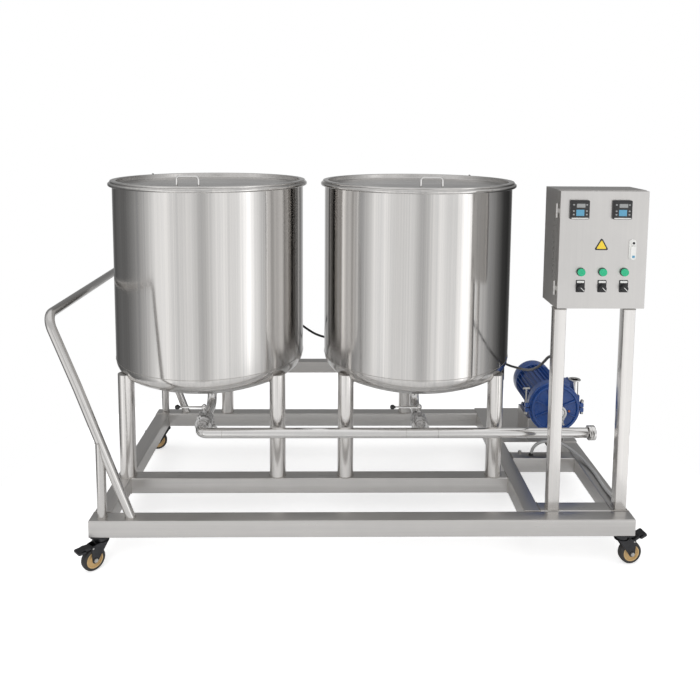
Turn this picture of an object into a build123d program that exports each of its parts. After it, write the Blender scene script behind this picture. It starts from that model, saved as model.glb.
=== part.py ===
from build123d import *
from math import acos, atan2, cos, degrees, pi, radians, sin, sqrt
import os

# Clean-in-place unit: two round stainless tanks on a castored tube frame, with outlet
# valves, a common pipe, a pump and a control cabinet on two posts.
# Millimetres. While it is built, X = 0 is the frame's middle, Y = 0 is the front rail's
# front face and Z = 0 is the floor. At the end everything moves to the bottom centre.

# Frame of square tube
frame_length = 1870.0
frame_depth = 975.0
rail_side = 60.0
rail_wall = 3.0
end_plate = 3.0
weld_gap = 0.2
caster_height = 115.0
tank_rail_y = 297.0
cross_member_x = 564.0
pump_rail_y = 460.0

# Tanks
left_tank_x = -606.0
tank_y = 545.0
tank_radius = 372.0
tank_gap = 56.0
tank_wall = 3.0
crown_radius = 744.0
knuckle_radius = 65.0
wall_foot_z = 604.0
rim_z = 1294.0
bead_reach = 16.0
bead_height = 15.0

# Legs and rear beam under the tanks
leg_diameter = 60.0
leg_wall = 2.5
leg_inset = 86.0
front_leg_top = 578.0
rear_leg_diameter = 54.0
beam_side = 50.0
beam_wall = 3.0
beam_bottom = 372.0
beam_overhang = 60.0
bracket_thickness = 8.0
bracket_spread = 60.0
bracket_top = 598.0

# Lids
lid_overhang = 8.0
lid_flange = 22.0
lid_sheet = 2.0
lid_edge_height = 7.0
lid_pan_depth = 18.0
lid_handle_rod = 8.0
lid_handle_span = 85.0
lid_handle_height = 50.0
lid_handle_inset = 23.0
lid_handle_shift = (-18.0, 13.0)
moving_gap = 0.3

# Sanitary pipe, ferrules and clamps
pipe_diameter = 38.0
pipe_wall = 1.5
bend_radius = 48.0
ferrule_diameter = 50.5
ferrule_lip = 2.9
ferrule_length = 12.0
gasket = 1.6
clamp_diameter = 64.0
clamp_width = 13.0
clamp_gap = 3.0
clamp_bolt = 6.0

# Pipe run and valves
manifold_y = 262.0
manifold_z = 371.0
manifold_right_x = 878.0
end_cap_length = 16.0
end_cap_diameter = 55.0
valve_y = 365.0
valve_length = 50.0
valve_body_diameter = 66.0
valve_body_width = 22.0
seat_thickness = 2.5
disc_clearance = 0.3
disc_thickness = 4.0
stem_diameter = 10.0
stem_clearance = 0.06
stem_height = 62.0
lever_length = 98.0
lever_width = 16.0
lever_thickness = 5.0
lever_knob = 19.0

# Return inlets near the rims, as angles from +X
return_angles = (134.0, 46.0)
return_below_rim = 42.0
return_z = rim_z - return_below_rim
return_reach = 30.0

# Push handle
handle_tube = 32.0
handle_wall = 2.0
handle_top_z = 878.0
handle_top_x = -1062.0
handle_knee_x = -966.0
handle_knee_z = 632.0
handle_foot_x = -797.0
handle_bend = 50.0
knee_bend = 260.0
stub_x = -896.0

# Control posts and cabinet
post_side = 40.0
post_wall = 2.5
post_x = (668.0, 906.0)
post_y = 62.0
cabinet_left = 654.0
cabinet_width = 300.0
cabinet_depth = 170.0
cabinet_height = 406.0
cabinet_bottom = 898.0
cabinet_sheet = 1.5
door_depth = 20.5
door_gap = 1.5
neck_inset = 4.0
neck_depth = 14.0
hinge_offset = 5.0
hinge_barrel = 8.0
hinge_pin = 4.0
hinge_pin_fit = 0.08
hinge_length = 48.0
hinge_end_distance = 70.0
vent_count = 12
vent_pitch = 20.0
vent_width = 3.0
vent_height = 9.0

# Things on the door
meter_side = 64.0
meter_bezel = 10.0
meter_body = 58.0
meter_body_depth = 55.0
meter_x = (718.0, 862.0)
meter_z = 1240.0
lamp_x = (731.0, 805.0, 879.0)
lamp_z = 1027.0
lamp_diameter = 29.0
lamp_proud = 13.0
lamp_body = 22.0
lamp_body_depth = 38.0
switch_z = 972.0
switch_plate_width = 30.0
switch_plate_height = 42.0
switch_plate = 2.5
knob_diameter = 24.0
knob_proud = 15.0
knob_shaft = 6.0
knob_shaft_fit = 0.06
sign_side = 50.0
sign_x = 798.0
sign_z = 1102.0
sign_thickness = 1.0
latch_x = 904.0
latch_z = 1104.0
latch_width = 25.0
latch_height = 71.0
latch_base = 4.0
latch_grip = 7.0
latch_pivot_drop = 14.0
latch_shaft = 10.0
latch_shaft_fit = 0.06

# Pump and motor
pump_x = 806.0
pump_axis_z = 362.0
plate_front_y = 611.0
plate_thickness = 4.0
stand_width = 160.0
stand_y = (632.0, 792.0)
stand_sheet = 5.0
casing_radius = 100.0
casing_y = (524.0, 598.0)
cavity_radius = 80.0
cavity_y = (536.0, 576.0)
casing_wall = 4.0
cover_thickness = 12.0
cover_rim = 9.0
cover_ribs = 8
suction_end_y = 472.0
discharge_offset = 90.0
discharge_y = 560.0
discharge_pipe = 32.0
discharge_boss = 24.0
discharge_boss_top = 440.0
discharge_top = 472.0
band_y = 526.0
band_width = 18.0
band_thickness = 7.0
lug_reach = 18.0
t_bolt_top = 441.0
motor_radius = 86.0
stator_radius = 74.0
motor_y = (612.0, 815.0)
shield_length = 14.0
cowl_end_y = 880.0
cowl_sheet = 2.0
fin_count = 28
fin_thickness = 3.0
shaft_radius = 12.0
shaft_fit = 0.07
rotor_radius = 45.0
rotor_gap = 0.6
impeller_radius = 76.0
impeller_blades = 6
fan_radius = 66.0
fan_blades = 7
foot_spread = 58.0
foot_width = 26.0
foot_thickness = 10.0
shaft_end_y = 856.0
wiring_box_y = (640.0, 732.0)
wiring_box_depth = 38.0
wiring_lid = 8.0

# Inside the cabinet
contactor_rail_height = 210.0
contactor_pitch = 75.0

# Casters, in their own frame: swivel axis at the origin, wheel trailing along +X
caster_inset = 35.0
caster_turn = (226.0, 10.0, 200.0, 340.0)
wheel_radius = 40.0
wheel_width = 28.0
hub_radius = 29.0
hub_width = 24.0
axle_radius = 4.0
axle_fit = 0.07
caster_trail = 33.0
fork_gap = 1.5
fork_plate = 2.5
fork_crown_z = 91.0
fork_crown = 4.0
crown_radius_caster = 25.0
caster_plate_side = 58.0
caster_plate = 3.0
race_radius = 21.0
kingpin_radius = 5.0
kingpin_fit = 0.08
pedal_pivot_x = 40.0
pedal_pivot_z = 84.0
pedal_reach = 92.0
pedal_pin = 3.0
pedal_pin_fit = 0.06
pedal_rest = (0.0, 26.0, 0.0, 0.0)

# Leads and glands
lead_diameter = 10.0
conduit_diameter = 13.0
gland_diameter = 18.0
probe_head = 28.0
left_probe_angle = 42.0
left_probe_z = 648.0
right_probe_angle = 11.5

# Worked out from the above
bead_radius = tank_radius + bead_reach
tank_x = (left_tank_x, left_tank_x + 2 * bead_radius + tank_gap)
tank_right = tank_x[1] + tank_radius
tank_back = tank_y + tank_radius
leg_spread = tank_radius - leg_inset
lid_outer_radius = tank_radius + lid_overhang
lid_pan_radius = lid_outer_radius - lid_flange
lid_handle_reach = lid_pan_radius - lid_handle_inset
rail_bottom = caster_height
rail_top = caster_height + rail_side
half_length = frame_length / 2
side_inner = half_length - rail_side
rear_front_y = frame_depth - rail_side
leg_front_y = tank_rail_y + rail_side / 2
leg_rear_y = frame_depth - rail_side / 2
pipe_radius = pipe_diameter / 2
bore_radius = pipe_radius - pipe_wall
ferrule_radius = ferrule_diameter / 2
valve_faces = (valve_y - valve_length / 2, valve_y + valve_length / 2)
branch_face_y = valve_faces[0] - gasket
outlet_face_y = valve_faces[1] + gasket
lid_top = rim_z + moving_gap + lid_edge_height
door_front = post_y
door_back = door_front + door_depth
body_front = door_back + door_gap
body_back = door_front + cabinet_depth
cabinet_right = cabinet_left + cabinet_width
cabinet_top = cabinet_bottom + cabinet_height
hinge_x = cabinet_left - hinge_offset
hinge_y = door_back + door_gap / 2
hinge_zs = (cabinet_bottom + hinge_end_distance, cabinet_top - hinge_end_distance)
caster_x = half_length - caster_inset
caster_y = rail_side / 2
caster_spots = (
    (-caster_x, caster_y),
    (caster_x, caster_y),
    (-caster_x, frame_depth - caster_y),
    (caster_x, frame_depth - caster_y),
)
caster_names = ("front_left", "front_right", "rear_left", "rear_right")


def block(x0, x1, y0, y1, z0, z1):
    """A box between two corners."""
    middle = Pos((x0 + x1) / 2, (y0 + y1) / 2, (z0 + z1) / 2)
    return middle * Box(x1 - x0, y1 - y0, z1 - z0)


def rod(start, end, radius):
    """A round bar between two points."""
    axis = Vector(*end) - Vector(*start)
    plane = Plane(origin=start, z_dir=axis)
    return extrude(plane * Circle(radius), axis.length)


def pipe_between(start, end, outer, inner):
    """A straight round pipe between two points."""
    return rod(start, end, outer) - rod(start, end, inner)


def square_tube(x0, x1, y0, y1, z0, z1, axis, wall):
    """A square tube whose ends are open along its axis."""
    cut = {"x": (0, wall, wall), "y": (wall, 0, wall), "z": (wall, wall, 0)}[axis]
    inner = block(x0 + cut[0], x1 - cut[0], y0 + cut[1], y1 - cut[1], z0 + cut[2], z1 - cut[2])
    return block(x0, x1, y0, y1, z0, z1) - inner


def sweep_circle(path, outer, inner=0.0):
    """A round tube or a solid cord along a path of lines and arcs."""
    start = Plane(origin=path @ 0, z_dir=path % 0)
    section = Circle(outer)
    if inner > 0:
        section = section - Circle(inner)
    return sweep(start * section, path=path)


def cord_path(points, reach=0.45):
    """Straight runs joined by the largest tangent arcs that the runs leave room for."""
    corners = [Vector(*p) for p in points]
    radii = []
    for before, here, after in zip(corners, corners[1:], corners[2:]):
        turn = radians((here - before).get_angle(after - here))
        run = min((here - before).length, (after - here).length)
        radii.append(reach * run / (sin(turn / 2) / cos(turn / 2)))
    path = FilletPolyline(*corners, radius=radii)
    return path, radii


def solids_of(*shapes):
    """One compound of separate solids."""
    parts = []
    for shape in shapes:
        parts.extend(shape.solids())
    return Compound(children=parts)


def head_face(radius, crown, knuckle, top):
    """Half section, in X and Z, of a round shell with a shallow dished bottom."""
    crown_z = wall_foot_z + sqrt((crown - knuckle) ** 2 - (radius - knuckle) ** 2)
    meet = atan2(radius - knuckle, crown_z - wall_foot_z)
    half = (meet + pi / 2) / 2
    bottom = (0, crown_z - crown)
    crown_mid = (crown * sin(meet / 2), crown_z - crown * cos(meet / 2))
    crown_end = (crown * sin(meet), crown_z - crown * cos(meet))
    knuckle_mid = (radius - knuckle + knuckle * sin(half), wall_foot_z - knuckle * cos(half))
    wall_start = (radius, wall_foot_z)
    edges = [
        ThreePointArc(bottom, crown_mid, crown_end),
        ThreePointArc(crown_end, knuckle_mid, wall_start),
        Line(wall_start, (radius, top)),
        Line((radius, top), (0, top)),
        Line((0, top), bottom),
    ]
    return Plane.XZ * make_face(edges)


def dish_z(radius_at):
    """Height of the tank's outer surface at a radius on the dished crown."""
    crown_z = wall_foot_z + sqrt(
        (crown_radius - knuckle_radius) ** 2 - (tank_radius - knuckle_radius) ** 2
    )
    return crown_z - sqrt(crown_radius**2 - radius_at**2)


def tank_envelope(index):
    """The tank's outer form, larger by the weld gap, to trim what meets it."""
    gap = weld_gap
    face = head_face(tank_radius + gap, crown_radius + gap, knuckle_radius + gap, rim_z)
    form = revolve(face, Axis.Z)
    return Pos(tank_x[index], tank_y, 0) * form


def on_wall(index, angle, radius, z):
    """A point at an angle and radius from one tank's axis."""
    a = radians(angle)
    return (tank_x[index] + radius * cos(a), tank_y + radius * sin(a), z)


def front_rail():
    tube = square_tube(
        -half_length + end_plate, half_length - end_plate, 0, rail_side, rail_bottom, rail_top, "x", rail_wall
    )
    return with_end_plates(tube, 0)


def rear_rail():
    tube = square_tube(
        -half_length + end_plate,
        half_length - end_plate,
        rear_front_y,
        frame_depth,
        rail_bottom,
        rail_top,
        "x",
        rail_wall,
    )
    return with_end_plates(tube, rear_front_y)


def with_end_plates(tube, y0):
    plates = []
    for x0 in (-half_length, half_length - end_plate):
        plates.append(block(x0, x0 + end_plate, y0, y0 + rail_side, rail_bottom, rail_top))
    return tube + plates


def side_rail(x0):
    y0 = rail_side + weld_gap
    y1 = rear_front_y - weld_gap
    return square_tube(x0, x0 + rail_side, y0, y1, rail_bottom, rail_top, "y", rail_wall)


def inner_rails():
    """The rail under the tanks' front legs, the cross member and the two short rails."""
    gap = weld_gap
    cross_right = cross_member_x + rail_side
    tank_rail = square_tube(
        -side_inner + gap,
        cross_member_x - gap,
        tank_rail_y,
        tank_rail_y + rail_side,
        rail_bottom,
        rail_top,
        "x",
        rail_wall,
    )
    cross = square_tube(
        cross_member_x,
        cross_right,
        rail_side + gap,
        rear_front_y - gap,
        rail_bottom,
        rail_top,
        "y",
        rail_wall,
    )
    short = []
    x0 = cross_right + gap
    x1 = side_inner - gap
    for y0 in (rail_side + gap, pump_rail_y):
        y1 = y0 + rail_side
        short.append(square_tube(x0, x1, y0, y1, rail_bottom, rail_top, "x", rail_wall))
    return solids_of(tank_rail, cross, *short)


def control_posts():
    half = post_side / 2
    posts = []
    for x in post_x:
        posts.append(
            square_tube(
                x - half, x + half, post_y, post_y + post_side, rail_top, cabinet_bottom, "z", post_wall
            )
        )
    return solids_of(*posts)


def tank_legs():
    """Two front legs, cut to each tank's dished bottom, and one rear leg under the beam."""
    legs = []
    outer = leg_diameter / 2
    for index, x in enumerate(tank_x):
        for side in (-1, 1):
            foot = (x + side * leg_spread, leg_front_y, rail_top)
            top = (foot[0], foot[1], front_leg_top)
            leg = pipe_between(foot, top, outer, outer - leg_wall)
            trimmed = (leg - tank_envelope(index)).solids().sort_by(Axis.Z)[0]
            legs.append(trimmed)
        rear = rear_leg_diameter / 2
        legs.append(
            pipe_between((x, leg_rear_y, rail_top), (x, leg_rear_y, beam_bottom), rear, rear - leg_wall)
        )
    return solids_of(*legs)


def rear_beam():
    """A cross tube on the rear legs, with two gusset plates up to each tank."""
    y0 = leg_rear_y - beam_side / 2
    beam_top = beam_bottom + beam_side
    x0 = tank_x[0] - bracket_spread - beam_overhang
    x1 = tank_x[1] + bracket_spread + beam_overhang
    beam = square_tube(x0, x1, y0, y0 + beam_side, beam_bottom, beam_top, "x", beam_wall)
    for end in (x0, x1 - beam_wall):
        beam += block(end, end + beam_wall, y0, y0 + beam_side, beam_bottom, beam_top)
    plates = []
    half = bracket_thickness / 2
    inner_y = tank_y + tank_radius - knuckle_radius
    for index, x in enumerate(tank_x):
        for side in (-1, 1):
            centre = x + side * bracket_spread
            outline = Polyline(
                (y0 + beam_side, beam_top),
                (y0, beam_top),
                (inner_y, wall_foot_z - knuckle_radius / 2),
                (inner_y, bracket_top),
                (y0 + beam_side * 0.4, bracket_top),
                (y0 + beam_side, beam_top),
            )
            face = Plane.YZ.offset(centre - half) * make_face(outline)
            plate = extrude(face, bracket_thickness) - tank_envelope(index)
            plates.append(plate.solids().sort_by(SortBy.VOLUME)[-1])
    return solids_of(beam, *plates)


def tank(index):
    """One tank's rolled wall with its rim bead, and the dished bottom welded under it."""
    shell = revolve(head_face(tank_radius, crown_radius, knuckle_radius, rim_z), Axis.Z)
    inside = revolve(
        head_face(
            tank_radius - tank_wall, crown_radius - tank_wall, knuckle_radius - tank_wall, rim_z + 1
        ),
        Axis.Z,
    )
    bead_inner = tank_radius - tank_wall
    bead_middle = (bead_inner + bead_radius) / 2
    bead = Plane.XZ * Pos(bead_middle, rim_z - bead_height / 2) * RectangleRounded(
        bead_radius - bead_inner, bead_height, bead_height * 0.4
    )
    body = shell + revolve(bead, Axis.Z) - inside
    body = Pos(tank_x[index], tank_y, 0) * body
    hole = pipe_radius + weld_gap
    outlet = rod((tank_x[index], tank_y, manifold_z), (tank_x[index], tank_y, wall_foot_z), hole)
    inlet = rod(
        on_wall(index, return_angles[index], tank_radius - 40, return_z),
        on_wall(index, return_angles[index], tank_radius + 40, return_z),
        hole,
    )
    body = body - outlet - inlet
    room = bead_radius + 10
    x = tank_x[index]
    above = block(x - room, x + room, tank_y - room, tank_y + room, wall_foot_z + weld_gap, rim_z + 10)
    below = block(x - room, x + room, tank_y - room, tank_y + room, manifold_z, wall_foot_z)
    return body & above, body & below


def ferrule(at, away):
    """A clamp ferrule whose sealing face is at a point and looks away from the pipe."""
    neck = pipe_radius
    outline = Polyline(
        (0, 0),
        (ferrule_radius, 0),
        (ferrule_radius, -ferrule_lip),
        (neck, -ferrule_lip - (ferrule_radius - neck) * 0.36),
        (neck, -ferrule_length),
        (0, -ferrule_length),
        (0, 0),
    )
    form = revolve(Plane.XZ * make_face(outline), Axis.Z)
    bore = Pos(0, 0, -ferrule_length / 2) * Cylinder(bore_radius, ferrule_length * 2)
    return Plane(origin=at, z_dir=away).location * (form - bore)


def outlet_pipe(index):
    """From the bottom of the dish, down, round a bend and forward to the valve."""
    x = tank_x[index]
    top = dish_z(pipe_radius) + tank_wall
    corner = (x, tank_y, manifold_z)
    end = (x, outlet_face_y + ferrule_length, manifold_z)
    path = FilletPolyline((x, tank_y, top), corner, end, radius=bend_radius)
    tube = sweep_circle(path, pipe_radius, bore_radius)
    return tube + ferrule((x, outlet_face_y, manifold_z), (0, -1, 0))


def return_inlet(index):
    """A short stub out of the tank wall near its rim, with a ferrule."""
    angle = return_angles[index]
    face = on_wall(index, angle, tank_radius + return_reach, return_z)
    start = on_wall(index, angle, tank_radius - tank_wall - 4, return_z)
    end = on_wall(index, angle, tank_radius + return_reach - ferrule_length, return_z)
    away = (cos(radians(angle)), sin(radians(angle)), 0)
    stub = pipe_between(start, end, pipe_radius, bore_radius)
    return stub + ferrule(face, away)


def probe_socket(start, away, length, radius):
    """A welded steel boss that a temperature probe screws into."""
    end = Vector(*start) + Vector(*away).normalized() * length
    return rod(start, tuple(end), radius)


left_away = (cos(radians(left_probe_angle)), sin(radians(left_probe_angle)), 0.0)
left_socket_start = on_wall(0, left_probe_angle, tank_radius - tank_wall, left_probe_z)
left_socket_length = 20.0
socket_radius = 11.0
knuckle_tilt = radians(45)
right_flat = cos(radians(right_probe_angle)), sin(radians(right_probe_angle))
right_away = (
    right_flat[0] * cos(knuckle_tilt),
    right_flat[1] * cos(knuckle_tilt),
    -sin(knuckle_tilt),
)
right_socket_start = on_wall(
    1,
    right_probe_angle,
    tank_radius - knuckle_radius + (knuckle_radius - tank_wall) * cos(knuckle_tilt),
    wall_foot_z - (knuckle_radius - tank_wall) * sin(knuckle_tilt),
)
right_socket_length = 42.0


def point_along(start, away, distance):
    return tuple(Vector(*start) + Vector(*away).normalized() * distance)


left_head_start = point_along(left_socket_start, left_away, left_socket_length)
right_head_start = point_along(right_socket_start, right_away, right_socket_length)
head_length = 24.0


def tank_ports():
    """Outlet pipes, return inlets and probe bosses, welded to the tanks."""
    left = probe_socket(left_socket_start, left_away, left_socket_length, socket_radius)
    right = probe_socket(right_socket_start, right_away, right_socket_length, socket_radius)
    left -= tank_envelope(0)
    right -= tank_envelope(1)
    return solids_of(
        outlet_pipe(0), outlet_pipe(1), return_inlet(0), return_inlet(1), left, right
    )


def blank_cap(at, toward):
    """A solid ferrule cap. Its sealing face is at a point and looks toward a joint."""
    back = ferrule_radius - 3
    outline = Polyline(
        (0, 0),
        (ferrule_radius, 0),
        (ferrule_radius, -ferrule_lip),
        (back, -ferrule_lip - 0.9),
        (back - 3, -ferrule_lip - 2.2),
        (0, -ferrule_lip - 2.2),
        (0, 0),
    )
    form = revolve(Plane.XZ * make_face(outline), Axis.Z)
    return Plane(origin=at, z_dir=toward).location * form


def blank_caps():
    """Caps on both return inlets and on the pump's suction."""
    caps = []
    for index, angle in enumerate(return_angles):
        out = tank_radius + return_reach + gasket
        a = radians(angle)
        caps.append(blank_cap(on_wall(index, angle, out, return_z), (-cos(a), -sin(a), 0)))
    caps.append(blank_cap((pump_x, suction_end_y - gasket, pump_axis_z), (0, 1, 0)))
    return solids_of(*caps)


def joint_places():
    """Middle, axis direction and bolt direction of each clamped joint."""
    places = []
    for x in tank_x:
        for face in (valve_faces[0] - gasket / 2, valve_faces[1] + gasket / 2):
            places.append(((x, face, manifold_z), (0, 1, 0), (0.5, 0, -1)))
    for index, angle in enumerate(return_angles):
        middle = tank_radius + return_reach + gasket / 2
        a = radians(angle)
        places.append((on_wall(index, angle, middle, return_z), (cos(a), sin(a), 0), (0, 0, 1)))
    places.append(((pump_x, suction_end_y - gasket / 2, pump_axis_z), (0, 1, 0), (0, 0, -1)))
    return places


def clamp(at, axis, bolt):
    """Two half rings with a hinge ear, a swing bolt and a wing nut."""
    plane = Plane(origin=at, x_dir=Vector(*bolt), z_dir=axis)
    outer = clamp_diameter / 2
    groove = ferrule_radius + moving_gap
    neck = pipe_radius + 2.2
    half = clamp_width / 2
    lip = gasket / 2 + ferrule_lip + moving_gap
    flare = lip + (groove - neck) * 0.36
    outline = Polyline(
        (outer, -half), (outer, half), (neck, half), (neck, flare), (groove, lip),
        (groove, -lip), (neck, -flare), (neck, -half), (outer, -half),
    )
    ring = revolve(Plane.XZ * make_face(outline), Axis.Z)
    ear = Pos(outer + 4, 0, 0) * Box(14, 18, clamp_width) + Pos(-outer - 3, 0, 0) * Box(12, 14, clamp_width)
    body = ring + (ear - Cylinder(outer - 2, clamp_width * 2))
    body = body - Box(clamp_diameter * 2, clamp_gap, clamp_width * 2)
    slot = Pos(outer + 4, 0, 0) * Box(8, 30, clamp_bolt + 1)
    body = body - slot
    bolt_bar = Pos(outer + 5, 4, 0) * Rot(90, 0, 0) * Cylinder(clamp_bolt / 2, 34)
    nut = Pos(outer + 5, -17, 0) * Rot(90, 0, 0) * Cylinder(6.5, 9)
    wings = nut
    for side in (-1, 1):
        wings += Pos(outer + 5 + side * 8, -19, 0) * Rot(0, 0, side * 20) * Box(12, 13, 3)
    return [plane.location * shape for shape in (body, bolt_bar - nut, wings)]


def clamps():
    parts = []
    for at, axis, bolt in joint_places():
        parts.extend(clamp(at, axis, bolt))
    return solids_of(*parts)


def gaskets():
    """A ring between the faces of each clamped joint, and one behind the end cap."""
    rings = []
    for at, axis, bolt in joint_places():
        plane = Plane(origin=at, z_dir=axis)
        ring = Cylinder(ferrule_radius - 1, gasket) - Cylinder(bore_radius, gasket)
        rings.append(plane.location * ring)
    at = (manifold_right_x - end_cap_length - gasket / 2, manifold_y, manifold_z)
    ring = Cylinder(ferrule_radius - 1, gasket) - Cylinder(bore_radius, gasket)
    rings.append(Plane(origin=at, z_dir=(1, 0, 0)).location * ring)
    return solids_of(*rings)


def valve_bodies():
    """Each valve's two flanged halves with a rubber seat between them."""
    parts = []
    seat_outer = bore_radius + seat_thickness
    for x in tank_x:
        plane = Plane(origin=(x, valve_y, manifold_z), z_dir=(0, 1, 0))
        half_length_valve = valve_length / 2
        neck = pipe_radius + 1
        outline = Polyline(
            (0, -half_length_valve),
            (ferrule_radius, -half_length_valve),
            (ferrule_radius, -half_length_valve + ferrule_lip),
            (neck, -half_length_valve + ferrule_lip + 2.2),
            (neck, -valve_body_width / 2),
            (valve_body_diameter / 2, -valve_body_width / 2),
            (valve_body_diameter / 2, 0),
            (0, 0),
            (0, -half_length_valve),
        )
        half_form = revolve(Plane.XZ * make_face(outline), Axis.Z)
        form = half_form + mirror(half_form, Plane.XY)
        form -= Cylinder(bore_radius, valve_length)
        form -= Cylinder(seat_outer, valve_body_width * 0.6)
        body = plane.location * form
        seat = Cylinder(seat_outer, valve_body_width * 0.6) - Cylinder(bore_radius, valve_body_width)
        seat = plane.location * seat
        below = manifold_z - valve_body_diameter / 2 - 1
        collar_top = manifold_z + stem_height - lever_thickness - 10
        body += rod((x, valve_y, manifold_z + seat_outer + 1), (x, valve_y, collar_top), stem_diameter / 2 + 4)
        stem_hole = rod((x, valve_y, below), (x, valve_y, collar_top), stem_diameter / 2 + stem_clearance)
        low_cover = rod((x, valve_y, below - 2), (x, valve_y, below + 3), stem_diameter / 2 + 3)
        parts.append(body - stem_hole + low_cover)
        parts.append(seat - stem_hole)
    return solids_of(*parts)


def valve_lever(index):
    """The disc on its stem, with the hand lever and its knob, shut at rest."""
    x = tank_x[index]
    disc_radius = bore_radius - disc_clearance
    disc = rod(
        (x, valve_y - disc_thickness / 2, manifold_z),
        (x, valve_y + disc_thickness / 2, manifold_z),
        disc_radius,
    )
    low = manifold_z - valve_body_diameter / 2 + 3
    top = manifold_z + stem_height
    stem = rod((x, valve_y, low), (x, valve_y, top), stem_diameter / 2)
    neck = x - lever_length
    arm = block(
        neck, x, valve_y - lever_width / 4, valve_y + lever_width / 4, top - lever_thickness - 1, top - 1
    )
    boss = rod((x, valve_y, top - lever_thickness - 4), (x, valve_y, top + 3), lever_width / 2 + 2)
    knob = Pos(neck - lever_knob * 0.3, valve_y, top - lever_thickness / 2 - 1) * Sphere(lever_knob / 2)
    arm_clear = arm - knob
    return solids_of(disc + stem + boss + arm_clear, knob)


def manifold():
    """The long pipe in front of the legs, with a bend and a branch up to each valve."""
    x0 = tank_x[0]
    x1 = tank_x[1]
    neck_y = branch_face_y - ferrule_length
    end_x = manifold_right_x - end_cap_length - gasket
    bend_x = x0 + bend_radius + pipe_diameter
    path = FilletPolyline(
        (x0, neck_y, manifold_z),
        (x0, manifold_y, manifold_z),
        (bend_x, manifold_y, manifold_z),
        radius=bend_radius,
    )
    bend = sweep_circle(path, pipe_radius, bore_radius)
    start = (bend_x, manifold_y, manifold_z)
    end = (end_x - ferrule_length, manifold_y, manifold_z)
    tee = (x1, manifold_y, manifold_z)
    branch_end = (x1, neck_y, manifold_z)
    run = rod(start, end, pipe_radius) + rod(tee, branch_end, pipe_radius)
    run -= rod(start, end, bore_radius)
    run -= rod(tee, branch_end, bore_radius)
    left = ferrule((x0, branch_face_y, manifold_z), (0, 1, 0))
    right = ferrule((x1, branch_face_y, manifold_z), (0, 1, 0))
    free = ferrule((end_x, manifold_y, manifold_z), (1, 0, 0))
    return run + bend + left + right + free


def manifold_cap():
    """A round screw cap over the free end of the long pipe."""
    x1 = manifold_right_x
    x0 = x1 - end_cap_length - gasket - ferrule_lip - 6
    outer = end_cap_diameter / 2
    cup = rod((x0, manifold_y, manifold_z), (x1, manifold_y, manifold_z), outer)
    cup = fillet(cup.edges().filter_by(GeomType.CIRCLE).sort_by(Axis.X)[-1], 4)
    seat_x = x1 - end_cap_length
    cup -= rod((x0, manifold_y, manifold_z), (seat_x, manifold_y, manifold_z), ferrule_radius + moving_gap)
    return cup


def handle_leg_points(y):
    return (
        (handle_foot_x, y, rail_top - 6),
        (handle_knee_x, y, handle_knee_z),
        (handle_top_x, y, handle_top_z),
    )


def push_handle():
    """One bent tube: up from the front rail, back along the grip and down behind."""
    y0 = rail_side / 2
    y1 = frame_depth - rail_side / 2
    points = list(handle_leg_points(y0)) + list(reversed(handle_leg_points(y1)))
    path = FilletPolyline(*points, radius=[knee_bend, handle_bend, handle_bend, knee_bend])
    tube = sweep_circle(path, handle_tube / 2, handle_tube / 2 - handle_wall)
    low = block(-half_length, half_length, 0, frame_depth, 0, rail_top)
    bent = (tube - low).solids().sort_by(SortBy.VOLUME)[-1]
    stubs = []
    rise = (handle_knee_z - rail_top) / (handle_foot_x - handle_knee_x)
    for y in (y0, y1):
        top = rail_top + rise * (handle_foot_x - stub_x)
        post = rod((stub_x, y, rail_top), (stub_x, y, top), handle_tube / 2)
        hollow = rod((stub_x, y, rail_top), (stub_x, y, top), handle_tube / 2 - handle_wall)
        slanted = rod((handle_foot_x, y, rail_top - 6), (handle_knee_x, y, handle_knee_z), handle_tube / 2)
        stubs.append((post - hollow - slanted).solids().sort_by(SortBy.VOLUME)[-1])
    return solids_of(bent, *stubs)


def pump_stand():
    """A flat plate on the frame and a stand of three welded plates under the motor's feet."""
    plate_top = rail_top + plate_thickness
    plate = block(cross_member_x, half_length, plate_front_y, frame_depth, rail_top, plate_top)
    half = stand_width / 2
    foot_z = pump_axis_z - 90
    x0 = pump_x - half
    x1 = pump_x + half
    under = foot_z - stand_sheet
    left = block(x0, x0 + stand_sheet, stand_y[0], stand_y[1], plate_top, under)
    right = block(x1 - stand_sheet, x1, stand_y[0], stand_y[1], plate_top, under)
    top = block(x0, x1, stand_y[0], stand_y[1], under, foot_z)
    return solids_of(plate, left, right, top)


def pump_casing():
    """A round casing with its discharge boss on the right, open in front for the cover."""
    y0, y1 = casing_y
    drum = rod((pump_x, y0, pump_axis_z), (pump_x, y1, pump_axis_z), casing_radius)
    boss_x = pump_x + discharge_offset
    boss = rod(
        (boss_x, discharge_y, pump_axis_z), (boss_x, discharge_y, discharge_boss_top), discharge_boss
    )
    form = drum + boss
    form -= rod((pump_x, y0 - 1, pump_axis_z), (pump_x, cavity_y[1], pump_axis_z), cavity_radius)
    duct = discharge_pipe / 2 - pipe_wall
    form -= rod(
        (boss_x, discharge_y, pump_axis_z), (boss_x, discharge_y, discharge_boss_top + 1), duct
    )
    form -= rod((pump_x, y0, pump_axis_z), (pump_x, y1 + 1, pump_axis_z), shaft_radius + shaft_fit)
    return form


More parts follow.
